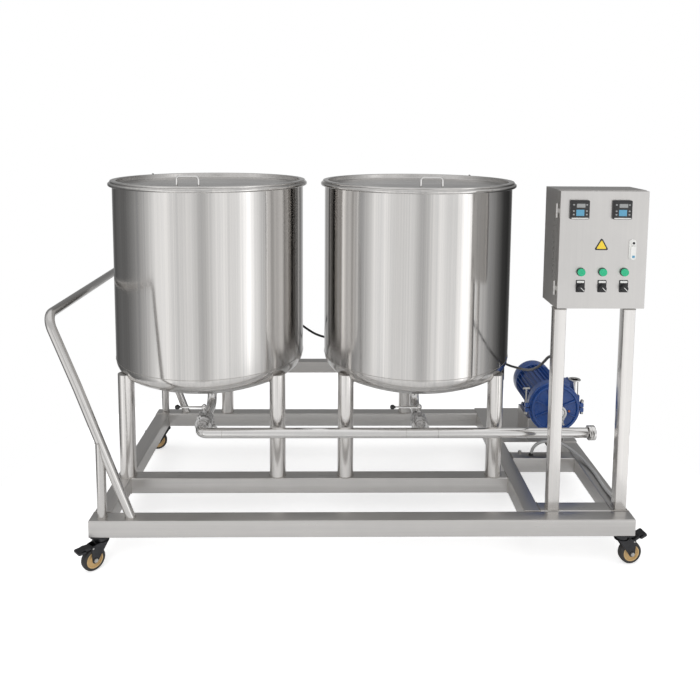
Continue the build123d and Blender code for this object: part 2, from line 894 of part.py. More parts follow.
def pump_cover():
    """The casing's front cover, with raised rims, ribs and the suction stub."""
    y1 = casing_y[0]
    y0 = y1 - cover_thickness
    outer = casing_radius - 2
    form = rod((pump_x, y0, pump_axis_z), (pump_x, y1, pump_axis_z), outer)
    form += rod((pump_x, y1, pump_axis_z), (pump_x, y1 + 6, pump_axis_z), cavity_radius - moving_gap)
    pocket_outer = outer - cover_rim
    pocket_inner = pipe_radius + 14
    pocket_depth = cover_thickness * 0.6
    ring = rod((pump_x, y0, pump_axis_z), (pump_x, y0 + pocket_depth, pump_axis_z), pocket_outer)
    ring -= rod((pump_x, y0, pump_axis_z), (pump_x, y0 + pocket_depth, pump_axis_z), pocket_inner)
    for number in range(cover_ribs):
        rib = Pos(0, 0, (pocket_outer + pocket_inner) / 2) * Box(7, cover_thickness * 4, pocket_outer)
        turned = Rot(0, 360 * number / cover_ribs + 22.5, 0) * rib
        ring -= Pos(pump_x, y0, pump_axis_z) * turned
    form -= ring
    neck_end = suction_end_y + ferrule_length
    form += rod((pump_x, neck_end, pump_axis_z), (pump_x, y0, pump_axis_z), pipe_radius)
    form += ferrule((pump_x, suction_end_y, pump_axis_z), (0, -1, 0))
    form -= rod((pump_x, suction_end_y, pump_axis_z), (pump_x, y1 + 7, pump_axis_z), bore_radius)
    return form


def casing_band():
    """A split band round the casing, drawn up by a bolt on each side."""
    inner = casing_radius + moving_gap
    outer = inner + band_thickness
    y1 = band_y + band_width
    ring = rod((pump_x, band_y, pump_axis_z), (pump_x, y1, pump_axis_z), outer)
    for side in (-1, 1):
        x0 = pump_x + side * (outer + lug_reach / 2 - 4)
        ring += Pos(x0, band_y + band_width / 2, pump_axis_z) * Box(lug_reach, band_width, 38)
    ring -= rod((pump_x, band_y - 1, pump_axis_z), (pump_x, y1 + 1, pump_axis_z), inner)
    ring -= Pos(pump_x, band_y + band_width / 2, pump_axis_z) * Box(outer * 4, band_width * 2, 4)
    boss_x = pump_x + discharge_offset
    boss_room = discharge_boss + moving_gap
    ring -= rod(
        (boss_x, discharge_y, pump_axis_z), (boss_x, discharge_y, discharge_boss_top), boss_room
    )
    lug_x = outer + lug_reach / 2
    bolts = []
    for side, top in ((-1, t_bolt_top), (1, pump_axis_z + 30)):
        x = pump_x + side * lug_x
        y = band_y + band_width / 2
        hole = rod((x, y, pump_axis_z - 24), (x, y, pump_axis_z + 24), 3.5)
        ring -= hole
        bolt = rod((x, y, pump_axis_z - 28), (x, y, top), 3.5)
        bolt += rod((x, y, pump_axis_z - 30), (x, y, pump_axis_z - 19), 7)
        if side < 0:
            bolt += rod((x - 14, y, top), (x + 14, y, top), 4)
        else:
            bolt += rod((x, y, pump_axis_z + 19), (x, y, pump_axis_z + 27), 7)
        bolts.append(bolt)
    return solids_of(ring, *bolts)


def discharge():
    """The stainless pipe that stands on the casing, with a ferrule on top."""
    x = pump_x + discharge_offset
    outer = discharge_pipe / 2
    inner = outer - pipe_wall
    straight = pipe_between(
        (x, discharge_y, discharge_boss_top), (x, discharge_y, discharge_top), outer, inner
    )
    lip_low = discharge_top - ferrule_lip
    cone_low = lip_low - (ferrule_radius - outer) * 0.36
    outline = Polyline(
        (inner, discharge_top),
        (ferrule_radius, discharge_top),
        (ferrule_radius, lip_low),
        (outer, cone_low),
        (inner, cone_low),
        (inner, discharge_top),
    )
    lip = Pos(x, discharge_y, 0) * revolve(Plane.XZ * make_face(outline), Axis.Z)
    return straight + lip


def motor_body():
    """Finned stator frame, its two end shields and its feet."""
    y0, y1 = motor_y
    core = rod((pump_x, y0, pump_axis_z), (pump_x, y1, pump_axis_z), stator_radius)
    middle_y = (y0 + y1) / 2
    fin_length = y1 - y0
    fin_height = motor_radius - stator_radius + 4
    fin_middle = motor_radius - 0.2 - fin_height / 2
    for number in range(fin_count):
        fin = Pos(0, 0, fin_middle) * Box(fin_thickness, fin_length, fin_height)
        turned = Rot(0, 360 * (number + 0.5) / fin_count, 0) * fin
        core += Pos(pump_x, middle_y, pump_axis_z) * turned
    top_z = pump_axis_z - 90
    for side in (-1, 1):
        x = pump_x + side * foot_spread
        half = foot_width / 2
        core += block(x - half, x + half, stand_y[0] + 8, stand_y[1] - 8, top_z, top_z + foot_thickness)
        web = block(x - 5, x + 5, stand_y[0] + 20, stand_y[1] - 20, top_z, pump_axis_z - 40)
        core += web
    core -= rod((pump_x, y0 - 1, pump_axis_z), (pump_x, y1 + 1, pump_axis_z), rotor_radius + rotor_gap)
    shields = []
    for start in (y0 - shield_length, y1):
        end = start + shield_length
        shield = rod((pump_x, start, pump_axis_z), (pump_x, end, pump_axis_z), motor_radius)
        shield -= rod(
            (pump_x, start - 1, pump_axis_z), (pump_x, end + 1, pump_axis_z), shaft_radius + shaft_fit
        )
        shields.append(shield)
    bolts = []
    for side in (-1, 1):
        for y in (stand_y[0] + 18, stand_y[1] - 18):
            x = pump_x + side * (foot_spread + 8)
            head = Pos(x, y, top_z + foot_thickness + 3) * extrude(RegularPolygon(6, 6), 3, both=True)
            bolts.append(head)
    return solids_of(core, *shields, *bolts)


def fan_cowl():
    """A round pressed cover over the fan, with slots in its end."""
    y0 = motor_y[1] + shield_length
    y1 = cowl_end_y
    outer = rod((pump_x, y0, pump_axis_z), (pump_x, y1, pump_axis_z), motor_radius)
    outer = fillet(outer.edges().filter_by(GeomType.CIRCLE).sort_by(Axis.Y)[-1], 14)
    inner_end = y1 - cowl_sheet
    inner = rod((pump_x, y0, pump_axis_z), (pump_x, inner_end, pump_axis_z), motor_radius - cowl_sheet)
    inner = fillet(inner.edges().filter_by(GeomType.CIRCLE).sort_by(Axis.Y)[-1], 12)
    cowl = outer - inner
    slot_radii = (24.0, 38.0, 52.0, 66.0)
    for radius in slot_radii:
        ring = rod((pump_x, inner_end - 3, pump_axis_z), (pump_x, y1 + 1, pump_axis_z), radius + 3)
        ring -= rod((pump_x, inner_end - 4, pump_axis_z), (pump_x, y1 + 2, pump_axis_z), radius - 3)
        for turn in (0, 60, 120):
            bar = Rot(0, turn, 0) * Box(9, 40, radius * 4)
            ring -= Pos(pump_x, y1, pump_axis_z) * bar
        cowl -= ring
    return cowl


def terminal_box():
    """The motor's wiring box on its right side, with a lid and four screws."""
    x0 = pump_x + stator_radius
    y0, y1 = wiring_box_y
    z0, z1 = pump_axis_z - 16, pump_axis_z + 56
    x1 = x0 + wiring_box_depth
    base = block(x0, x1, y0, y1, z0, z1)
    base -= rod((pump_x, y0 - 1, pump_axis_z), (pump_x, y1 + 1, pump_axis_z), motor_radius + 0.6)
    lid = block(x1, x1 + wiring_lid, y0 - 2, y1 + 2, z0 - 2, z1 + 2)
    lid = fillet(lid.edges().filter_by(Axis.X), 6)
    return solids_of(base.solids().sort_by(SortBy.VOLUME)[-1], lid)


def pump_rotor():
    """Motor shaft with its rotor core and the impeller on its front end."""
    tip_y = cavity_y[0] + 4
    shaft = rod((pump_x, tip_y, pump_axis_z), (pump_x, shaft_end_y, pump_axis_z), shaft_radius)
    core = rod((pump_x, motor_y[0] + 16, pump_axis_z), (pump_x, motor_y[1] - 16, pump_axis_z), rotor_radius)
    back = cavity_y[1] - 4
    plate = rod((pump_x, back - 4, pump_axis_z), (pump_x, back, pump_axis_z), impeller_radius)
    hub = rod((pump_x, tip_y, pump_axis_z), (pump_x, back, pump_axis_z), shaft_radius + 8)
    blades = plate + hub
    blade_start = shaft_radius + 4
    blade_middle = (impeller_radius + blade_start) / 2
    for number in range(impeller_blades):
        blade = Pos(5, 0, blade_middle) * Rot(0, 22, 0) * Box(
            3, back - cavity_y[0] - 12, impeller_radius - blade_start - 12
        )
        turned = Rot(0, 360 * number / impeller_blades, 0) * blade
        blades += Pos(pump_x, (back + cavity_y[0] + 8) / 2, pump_axis_z) * turned
    return solids_of(shaft + core + blades)


def cooling_fan():
    """A small fan on the shaft's rear end, inside the cowl."""
    y0 = motor_y[1] + shield_length + 6
    y1 = y0 + 16
    hub = rod((pump_x, y0, pump_axis_z), (pump_x, y1, pump_axis_z), shaft_radius + 10)
    hub += rod((pump_x, y0, pump_axis_z), (pump_x, y0 + 3, pump_axis_z), fan_radius - 8)
    for number in range(fan_blades):
        blade_length = fan_radius - shaft_radius - 6
        blade = Pos(0, 0, shaft_radius + 6 + blade_length / 2) * Box(3, y1 - y0, blade_length)
        turned = Rot(0, 360 * number / fan_blades, 0) * blade
        hub += Pos(pump_x, (y0 + y1) / 2, pump_axis_z) * turned
    return hub - rod((pump_x, y0 - 1, pump_axis_z), (pump_x, y1 + 1, pump_axis_z), shaft_radius)


def lid(index):
    """A pan lid on the rim, with a bent rod handle near its front edge."""
    low = rim_z + moving_gap
    plate_z = lid_top - lid_pan_depth
    sheet = lid_sheet
    outline = Polyline(
        (0, plate_z - sheet),
        (lid_pan_radius + sheet, plate_z - sheet),
        (lid_pan_radius + sheet, lid_top - sheet),
        (lid_outer_radius - sheet, lid_top - sheet),
        (lid_outer_radius - sheet, low),
        (lid_outer_radius, low),
        (lid_outer_radius, lid_top - 1.5),
        (lid_outer_radius - 1.5, lid_top),
        (lid_pan_radius, lid_top),
        (lid_pan_radius, plate_z),
        (0, plate_z),
        (0, plate_z - sheet),
    )
    pan = revolve(Plane.XZ * make_face(outline), Axis.Z)
    half = lid_handle_span / 2 - lid_handle_rod / 2
    y = -lid_handle_reach
    x0 = lid_handle_shift[index]
    top = plate_z + lid_handle_height
    foot = plate_z - sheet / 2
    path = FilletPolyline(
        (x0 - half, y, foot), (x0 - half, y, top), (x0 + half, y, top), (x0 + half, y, foot), radius=11
    )
    rod_handle = sweep_circle(path, lid_handle_rod / 2)
    return Pos(tank_x[index], tank_y, 0) * (pan + rod_handle)


def caster_place(number):
    x, y = caster_spots[number]
    return Pos(x, y, 0) * Rot(0, 0, caster_turn[number])


def caster_plates():
    """Top plate, upper race, kingpin and four bolt heads of each caster."""
    parts = []
    plate_z = caster_height - caster_plate
    race_low = fork_crown_z + fork_crown + moving_gap
    pin_low = fork_crown_z - 4.5
    for number in range(4):
        x, y = caster_spots[number]
        half = caster_plate_side / 2
        plate = block(-half, half, -half, half, plate_z, caster_height)
        race = rod((0, 0, race_low), (0, 0, plate_z), race_radius)
        pin = rod((0, 0, fork_crown_z - 0.6), (0, 0, race_low), kingpin_radius)
        nut = rod((0, 0, pin_low), (0, 0, fork_crown_z - 0.6), kingpin_radius + 4)
        form = plate + race + pin + nut
        for sx in (-1, 1):
            for sy in (-1, 1):
                form += Pos(sx * (half - 7), sy * (half - 7), plate_z - 2) * Cylinder(4.5, 4)
        parts.append(Pos(x, y, 0) * form)
    return solids_of(*parts)


def caster_fork(number):
    """The swivelling fork with its race cover and the wheel's axle bolt."""
    inner = wheel_width / 2 + fork_gap
    outer = inner + fork_plate
    crown_low = fork_crown_z
    crown = rod((0, 0, crown_low), (0, 0, crown_low + fork_crown), crown_radius_caster)
    crown += block(0, pedal_pivot_x - 10, -outer, outer, crown_low, crown_low + fork_crown)
    crown -= rod((0, 0, crown_low - 1), (0, 0, crown_low + 10), kingpin_radius + kingpin_fit)
    axle_z = wheel_radius
    cheek = make_hull(
        (Pos(caster_trail, axle_z) * Circle(11)).edges()
        + (Pos(2, crown_low + 1) * Rectangle(36, 6)).edges()
        + (Pos(pedal_pivot_x, pedal_pivot_z) * Circle(7)).edges()
    )
    fork = crown
    for side in (-1, 1):
        y = side * (inner + fork_plate / 2)
        plane = Plane.XZ.offset(-y)
        fork += extrude(plane * cheek, fork_plate / 2, both=True)
    pin_hole = rod(
        (pedal_pivot_x, -outer - 1, pedal_pivot_z), (pedal_pivot_x, outer + 1, pedal_pivot_z), pedal_pin
    )
    fork -= pin_hole
    pin_end = outer + 1.5
    pin = rod(
        (pedal_pivot_x, -pin_end, pedal_pivot_z), (pedal_pivot_x, pin_end, pedal_pivot_z), pedal_pin
    )
    axle_end = outer + 6
    axle = rod((caster_trail, -axle_end, axle_z), (caster_trail, axle_end, axle_z), axle_radius)
    for side in (-1, 1):
        y = side * (outer + 2.5)
        axle += Pos(caster_trail, y, axle_z) * Rot(90, 0, 0) * Cylinder(7.5, 5)
    fork -= rod((caster_trail, -outer - 1, axle_z), (caster_trail, outer + 1, axle_z), axle_radius)
    return caster_place(number) * solids_of(fork, pin, axle)


def caster_wheel(number):
    """A tyre on a dished hub, both turning on the axle."""
    half = wheel_width / 2
    hub_half = hub_width / 2
    tyre_outline = Polyline(
        (hub_radius, -half + 1),
        (wheel_radius - 5, -half),
        (wheel_radius - 1, -half + 4),
        (wheel_radius, 0),
        (wheel_radius - 1, half - 4),
        (wheel_radius - 5, half),
        (hub_radius, half - 1),
        (hub_radius, -half + 1),
    )
    tyre = revolve(Plane.XZ * make_face(tyre_outline), Axis.Z)
    hub_outline = Polyline(
        (axle_radius + axle_fit, -half),
        (12, -half),
        (12, -hub_half + 4),
        (hub_radius - 4, -hub_half + 4),
        (hub_radius - 4, -hub_half - 1),
        (hub_radius, -hub_half - 1),
        (hub_radius, hub_half + 1),
        (hub_radius - 4, hub_half + 1),
        (hub_radius - 4, hub_half - 4),
        (12, hub_half - 4),
        (12, half),
        (axle_radius + axle_fit, half),
        (axle_radius + axle_fit, -half),
    )
    hub = revolve(Plane.XZ * make_face(hub_outline), Axis.Z)
    upright = Pos(caster_trail, 0, wheel_radius) * Rot(90, 0, 0)
    return caster_place(number) * upright * solids_of(tyre, hub)


def brake_pedal(number):
    """The foot lever over the wheel, on its pin between the fork's cheeks."""
    half = wheel_width / 2 + fork_gap - moving_gap
    boss_radius = pedal_pin + 1.2
    boss = rod((pedal_pivot_x, -half, pedal_pivot_z), (pedal_pivot_x, half, pedal_pivot_z), boss_radius)
    arm = make_face(
        Polyline(
            (pedal_pivot_x - 3, pedal_pivot_z - 3),
            (pedal_pivot_x + 24, pedal_pivot_z - 1),
            (pedal_reach - 4, pedal_pivot_z - 3),
            (pedal_reach, pedal_pivot_z + 3),
            (pedal_pivot_x + 26, pedal_pivot_z + 9),
            (pedal_pivot_x, pedal_pivot_z + 5.5),
            (pedal_pivot_x - 3, pedal_pivot_z - 3),
        )
    )
    lever = extrude(Plane.XZ * arm, half, both=True)
    wide = block(
        pedal_reach - 28, pedal_reach, -half - 6, half + 6, pedal_pivot_z - 3, pedal_pivot_z + 3.5
    )
    wide = fillet(wide.edges().filter_by(Axis.Z), 6)
    form = boss + lever + wide
    form -= rod(
        (pedal_pivot_x, -half - 9, pedal_pivot_z),
        (pedal_pivot_x, half + 9, pedal_pivot_z),
        pedal_pin + pedal_pin_fit,
    )
    wheel_room = wheel_radius + 1.5
    form -= rod((caster_trail, -half - 9, wheel_radius), (caster_trail, half + 9, wheel_radius), wheel_room)
    lever = form.solids().sort_by(SortBy.VOLUME)[-1]
    pivot = Pos(pedal_pivot_x, 0, pedal_pivot_z)
    lifted = pivot * Rot(0, -pedal_rest[number], 0) * Pos(-pedal_pivot_x, 0, -pedal_pivot_z) * lever
    return caster_place(number) * lifted


def hinge_knuckle(z0, z1, side, bored):
    """A barrel on the cabinet's left with a leaf to the door (-1) or the body (1)."""
    barrel = rod((hinge_x, hinge_y, z0), (hinge_x, hinge_y, z1), hinge_barrel / 2)
    near = hinge_y + side * (door_gap / 2 + 0.5)
    far = hinge_y + side * 17
    leaf = block(cabinet_left - 1.5, cabinet_left, min(near, far), max(near, far), z0, z1)
    root = block(
        hinge_x, cabinet_left - 0.7, min(near, near + side * 2.5), max(near, near + side * 2.5), z0, z1
    )
    knuckle = barrel + leaf + root
    hole = hinge_pin / 2 + (hinge_pin_fit if bored else 0)
    return knuckle - rod((hinge_x, hinge_y, z0 - 1), (hinge_x, hinge_y, z1 + 1), hole)


def panels_of(form, side, low, high):
    """A sheet box cut into the panels it is welded from: two sides, bottom, top and the rest."""
    x0, x1 = cabinet_left, cabinet_right
    y0, y1 = door_front - 5, body_back + 5
    rooms = (
        block(x0 - 1, x0 + side, y0, y1, low - 1, high + 1),
        block(x1 - side, x1 + 1, y0, y1, low - 1, high + 1),
        block(x0 + side, x1 - side, y0, y1, low - 1, low + side),
        block(x0 + side, x1 - side, y0, y1, high - side, high + 1),
        block(x0 + side, x1 - side, y0, y1, low + side, high - side),
    )
    return [form & room for room in rooms]


def cabinet():
    """The sheet body with a recessed neck, side vents and its half of the hinges."""
    sheet = cabinet_sheet
    body = block(cabinet_left, cabinet_right, body_front, body_back, cabinet_bottom, cabinet_top)
    body -= block(
        cabinet_left + sheet,
        cabinet_right - sheet,
        body_front - 1,
        body_back - sheet,
        cabinet_bottom + sheet,
        cabinet_top - sheet,
    )
    inset = neck_inset
    neck = block(
        cabinet_left + inset,
        cabinet_right - inset,
        body_front - neck_depth,
        body_front + sheet,
        cabinet_bottom + inset,
        cabinet_top - inset,
    )
    lip = block(
        cabinet_left + sheet / 2,
        cabinet_right - sheet / 2,
        body_front,
        body_front + sheet,
        cabinet_bottom + sheet / 2,
        cabinet_top - sheet / 2,
    )
    opening = block(
        cabinet_left + inset + sheet,
        cabinet_right - inset - sheet,
        body_front - neck_depth - 1,
        body_front + sheet + 1,
        cabinet_bottom + inset + sheet,
        cabinet_top - inset - sheet,
    )
    body = body + neck + lip - opening
    middle_z = (cabinet_bottom + cabinet_top) / 2
    slots = None
    for number in range(vent_count):
        z = middle_z + 7 + vent_pitch * (number - (vent_count - 1) / 2)
        cut = Pos(cabinet_left, body_front + 42, z) * Box(10, vent_width, vent_height)
        slots = cut if slots is None else slots + cut
    body -= slots
    parts = panels_of(body, inset + sheet, cabinet_bottom, cabinet_top)
    for z in hinge_zs:
        third = hinge_length / 3
        for low in (z - hinge_length / 2, z + third / 2 + 0.4):
            knuckle = hinge_knuckle(low, low + third - 0.4, 1, False)
            parts.append(knuckle)
        parts.append(
            rod((hinge_x, hinge_y, z - hinge_length / 2), (hinge_x, hinge_y, z + hinge_length / 2), hinge_pin / 2)
        )
    return solids_of(*parts)


def door():
    """A folded pan that wraps the cabinet's neck, with its half of the hinges."""
    sheet = cabinet_sheet
    low = cabinet_bottom + 2
    high = cabinet_top - 2
    pan = block(cabinet_left, cabinet_right, door_front, door_back, low, high)
    pan = fillet(pan.edges().filter_by(Axis.Z).sort_by(Axis.Y)[:2], 1.2)
    pan -= block(
        cabinet_left + sheet,
        cabinet_right - sheet,
        door_front + sheet,
        door_back + 1,
        low + sheet,
        high - sheet,
    )
    holes = []
    for x in meter_x:
        holes.append(Pos(x, door_front, meter_z) * Box(meter_body + 1, 10, meter_body + 1))
    for x in lamp_x:
        for z in (lamp_z, switch_z):
            holes.append(rod((x, door_front - 5, z), (x, door_front + 5, z), lamp_body / 2 + 0.25))
    pivot_z = latch_z - latch_height / 2 + latch_pivot_drop
    holes.append(
        rod((latch_x, door_front - 5, pivot_z), (latch_x, door_front + 5, pivot_z), latch_shaft / 2 + 2.2)
    )
    for hole in holes:
        pan -= hole
    parts = panels_of(pan, sheet, low, high)
    for z in hinge_zs:
        sixth = hinge_length / 6
        parts.append(hinge_knuckle(z - sixth + 0.4, z + sixth, -1, True))
    return solids_of(*parts)


def meters():
    """Two temperature controllers: a bezel in front and a housing behind the door."""
    parts = []
    for x in meter_x:
        front = Pos(x, door_front - meter_bezel / 2, meter_z) * Box(meter_side, meter_bezel, meter_side)
        front = fillet(front.edges().filter_by(Axis.Y), 4)
        depth = meter_body_depth
        rear = Pos(x, door_front + depth / 2, meter_z) * Box(meter_body, depth, meter_body)
        parts.append(front + rear)
    return solids_of(*parts)


def lamps():
    """Three pilot lamps: a bezel with its lens and a body through the door."""
    parts = []
    for x in lamp_x:
        bezel = rod((x, door_front - 4, lamp_z), (x, door_front, lamp_z), lamp_diameter / 2)
        lens = rod((x, door_front - lamp_proud, lamp_z), (x, door_front - 4, lamp_z), lamp_diameter / 2 - 1.5)
        lens = fillet(lens.edges().filter_by(GeomType.CIRCLE).sort_by(Axis.Y)[0], 2)
        rear = rod((x, door_front, lamp_z), (x, door_front + lamp_body_depth, lamp_z), lamp_body / 2)
        parts.append(bezel + lens + rear)
    return solids_of(*parts)


def door_plates():
    """Switch plates with their bodies, the plain three-cornered plate and the latch base."""
    parts = []
    shaft_hole = knob_shaft / 2 + knob_shaft_fit
    for x in lamp_x:
        front = door_front - switch_plate
        centre_z = switch_z + (switch_plate_height - switch_plate_width) / 2
        plate = Pos(x, front + switch_plate / 2, centre_z) * Box(
            switch_plate_width, switch_plate, switch_plate_height
        )
        plate = fillet(plate.edges().filter_by(Axis.Y), 3)
        rear = rod((x, door_front, switch_z), (x, door_front + lamp_body_depth, switch_z), lamp_body / 2)
        hole = rod((x, front - 1, switch_z), (x, door_front + 24, switch_z), shaft_hole)
        parts.append(plate + rear - hole)
    height = sign_side * sqrt(3) / 2
    triangle = Polyline(
        (sign_x - sign_side / 2, sign_z),
        (sign_x + sign_side / 2, sign_z),
        (sign_x, sign_z + height),
        (sign_x - sign_side / 2, sign_z),
    )
    sign = extrude(Plane.XZ.offset(-door_front) * make_face(triangle), sign_thickness)
    sign = fillet(sign.edges().filter_by(Axis.Y), 3)
    parts.append(sign)
    base = extrude(
        Plane.XZ.offset(-door_front)
        * Pos(latch_x, latch_z)
        * SlotOverall(latch_height, latch_width, rotation=90),
        latch_base,
    )
    pivot_z = latch_z - latch_height / 2 + latch_pivot_drop
    sleeve = rod(
        (latch_x, door_front, pivot_z), (latch_x, door_front + 8, pivot_z), latch_shaft / 2 + 2
    )
    lock = rod(
        (latch_x, door_front - latch_base - 6, latch_z + latch_height / 2 - 12),
        (latch_x, door_front - latch_base, latch_z + latch_height / 2 - 12),
        9,
    )
    base = base + sleeve + lock
    base -= rod(
        (latch_x, door_front - latch_base - 1, pivot_z),
        (latch_x, door_front + 9, pivot_z),
        latch_shaft / 2 + latch_shaft_fit,
    )
    parts.append(base)
    return solids_of(*parts)


def latch():
    """The turning grip, its shaft through the door and the tongue behind it."""
    pivot_z = latch_z - latch_height / 2 + latch_pivot_drop
    front = door_front - latch_base - moving_gap
    grip_length = latch_height - latch_pivot_drop - 15
    grip = extrude(
        Plane.XZ.offset(-front)
        * Pos(latch_x, pivot_z + grip_length / 2 - 10)
        * SlotOverall(grip_length + 6, 19, rotation=90),
        latch_grip,
    )
    shaft = rod((latch_x, front, pivot_z), (latch_x, door_front + 14, pivot_z), latch_shaft / 2)
    tongue_y = door_front + 10
    tongue = block(
        latch_x - 7, latch_x + 37, tongue_y, tongue_y + 2.5, pivot_z - 8, pivot_z + 8
    )
    return grip + shaft + tongue


def selector(index):
    """A round knob with a raised pointer bar, turned to the lower right."""
    x = lamp_x[index]
    front = door_front - switch_plate - moving_gap
    knob = rod((x, front - knob_proud, switch_z), (x, front, switch_z), knob_diameter / 2)
    knob = fillet(knob.edges().filter_by(GeomType.CIRCLE).sort_by(Axis.Y)[0], 1.5)
    grip = Pos(x, front - knob_proud + 3, switch_z) * Rot(0, -45, 0) * Box(30, 10, 7)
    grip &= rod((x, front - knob_proud - 2, switch_z), (x, front - 2, switch_z), knob_diameter / 2)
    shaft = rod((x, front, switch_z), (x, door_front + 20, switch_z), knob_shaft / 2)
    return knob + grip + shaft


def switchgear():
    """Back plate, mounting rail and three contactors inside the cabinet."""
    plate_y = body_back - cabinet_sheet - 8
    plate = block(
        cabinet_left + 25, cabinet_right - 25, plate_y, plate_y + 2, cabinet_bottom + 30, cabinet_top - 30
    )
    standoffs = []
    for x in (cabinet_left + 40, cabinet_right - 40):
        for z in (cabinet_bottom + 50, cabinet_top - 50):
            standoffs.append(rod((x, plate_y + 2, z), (x, body_back - cabinet_sheet, z), 5))
    rail_z = cabinet_bottom + contactor_rail_height
    din = block(cabinet_left + 35, cabinet_right - 35, plate_y - 7.5, plate_y, rail_z - 17.5, rail_z + 17.5)
    units = []
    for number in range(3):
        x = cabinet_left + contactor_pitch * (number + 1)
        units.append(
            block(x - 22.5, x + 22.5, plate_y - 65, plate_y - 7.5, rail_z - 40, rail_z + 40)
        )
    return solids_of(plate, din, *standoffs, *units)


# Route of the left tank's probe lead, chosen by hand, from the probe head, behind the
# right tank over its clip, and forward to the gland behind the left control post
lead_exit = point_along(left_head_start, left_away, head_length / 2)
lead_points = (
    (lead_exit[0] + 24.0, lead_exit[1] + 8.0, left_probe_z - 9.0),
    (lead_exit[0] + 46.0, lead_exit[1] + 14.7, left_probe_z - 16.0),
    (lead_exit[0] + 80.0, lead_exit[1] + 26.7, left_probe_z - 46.0),
    (lead_exit[0] + 122.0, lead_exit[1] + 39.7, left_probe_z - 76.0),
    (tank_x[1] - 358.0, tank_back - 51.0, 553.0),
    (tank_x[1] - 296.0, tank_back - 33.0, 550.0),
    (tank_x[1] - 234.0, tank_back - 15.0, 569.0),
    (tank_x[1] - 158.0, tank_back + 4.0, 602.0),
    (tank_x[1] - 62.0, tank_back + 15.0, 624.0),
    (tank_x[1] + 62.0, tank_back + 15.0, 624.0),
    (tank_x[1] + 162.0, tank_back - 3.0, 594.0),
    (tank_x[1] + 240.0, tank_back - 27.0, 551.0),
    (tank_x[1] + 318.0, tank_back - 60.0, 508.0),
    (tank_right + 18.0, tank_back - 97.0, 476.0),
    (tank_right + 68.0, tank_back - 155.0, 462.0),
    (tank_right + 90.0, 680.0, 478.0),
    (tank_right + 93.0, 580.0, 505.0),
    (tank_right + 88.0, 480.0, 538.0),
    (679.0, 385.0, 577.0),
    (672.0, 298.0, 618.0),
    (667.0, 222.0, 662.0),
    (664.0, 166.0, 698.0),
    (664.0, 128.0, 712.0),
)
clip_x = tank_x[1]
clip_y = tank_back + 15.0
clip_z = 624.0

# Route of the flexible conduit: up from its gland on the short rail, over an arch and
# forward along the right side rail to the gland behind the right control post
conduit_lie = rail_top + conduit_diameter / 2 + 0.5
conduit_points = (
    (706.0, 490.0, rail_top + 9.0),
    (708.5, 490.0, rail_top + 23.0),
    (717.0, 490.0, rail_top + 38.0),
    (733.0, 490.5, rail_top + 51.0),
    (757.0, 492.0, rail_top + 58.0),
    (789.0, 494.0, rail_top + 59.0),
    (826.0, 494.0, rail_top + 51.0),
    (860.0, 485.0, rail_top + 33.0),
    (886.0, 461.0, rail_top + 16.5),
    (900.0, 422.0, rail_top + 9.5),
    (907.0, 370.0, conduit_lie),
    (909.0, 306.0, conduit_lie),
    (905.0, 242.0, conduit_lie),
    (903.5, 182.0, conduit_lie + 1.0),
    (906.0, 130.0, conduit_lie + 5.0),
)


def probe_lead():
    path, radii = cord_path(lead_points)
    print("probe lead", round(path.length, 1), [round(r) for r in radii])
    return sweep_circle(path, lead_diameter / 2)


def conduit():
    path, radii = cord_path(conduit_points)
    print("conduit", round(path.length, 1), [round(r) for r in radii])
    return sweep_circle(path, conduit_diameter / 2)


def gland(tip, beyond, root_length, radius):
    """A stepped cable gland that carries on the line of the lead it holds."""
    axis = (Vector(*tip) - Vector(*beyond)).normalized()
    middle = Vector(*tip) + axis * (root_length * 0.45)
    root = Vector(*tip) + axis * root_length
    return rod(tip, tuple(middle), radius * 0.78) + rod(tuple(middle), tuple(root), radius)


def post_block(number):
    """The solid outline of one control post."""
    half = post_side / 2
    x = post_x[number]
    return block(x - half, x + half, post_y, post_y + post_side, rail_top, cabinet_bottom)


def probe_heads():
    """A round head on each probe boss, with the gland that its lead leaves by."""
    left_end = point_along(left_head_start, left_away, head_length)
    left = rod(left_head_start, left_end, probe_head / 2)
    left += gland(lead_points[0], lead_points[1], 26, gland_diameter / 2)
    right_end = point_along(right_head_start, right_away, head_length)
    right_middle = point_along(right_head_start, right_away, head_length / 2)
    down = (right_middle[0], right_middle[1], right_middle[2] - 74)
    right = rod(right_head_start, right_end, probe_head / 2)
    right += rod(right_middle, down, gland_diameter / 2)
    return [left, right]


def lead_clip():
    """A ring round the probe lead on a small bracket off the right tank's wall."""
    hole = lead_diameter / 2
    half = 5
    wall_y = tank_y + tank_radius
    x0 = clip_x - half
    x1 = clip_x + half
    clip = rod((x0, clip_y, clip_z), (x1, clip_y, clip_z), hole + 3)
    clip += block(x0, x1, wall_y - 2, clip_y, clip_z + hole, clip_z + hole + 3)
    clip += block(x0, x1, wall_y - 2, wall_y + 2, clip_z + hole, clip_z + 24)
    clip -= rod((x0 - 1, clip_y, clip_z), (x1 + 1, clip_y, clip_z), hole)
    return clip - tank_envelope(1)


def cable_fittings():
    """Both probe heads, the glands that the leads enter and the clip on the tank."""
    radius = gland_diameter / 2
    post_gland = gland(lead_points[-1], lead_points[-2], 34, radius) - post_block(0)
    foot_gland = gland(conduit_points[-1], conduit_points[-2], 36, radius + 1)
    foot_gland -= post_block(1)
    foot_gland -= block(side_inner, half_length, 0, frame_depth, rail_bottom, rail_top)
    rail_gland = gland(conduit_points[0], conduit_points[1], 16, radius + 1)
    rail_gland -= block(cross_member_x, half_length, 0, frame_depth, rail_bottom, rail_top)
    return solids_of(*probe_heads(), post_gland, foot_gland, rail_gland, lead_clip())


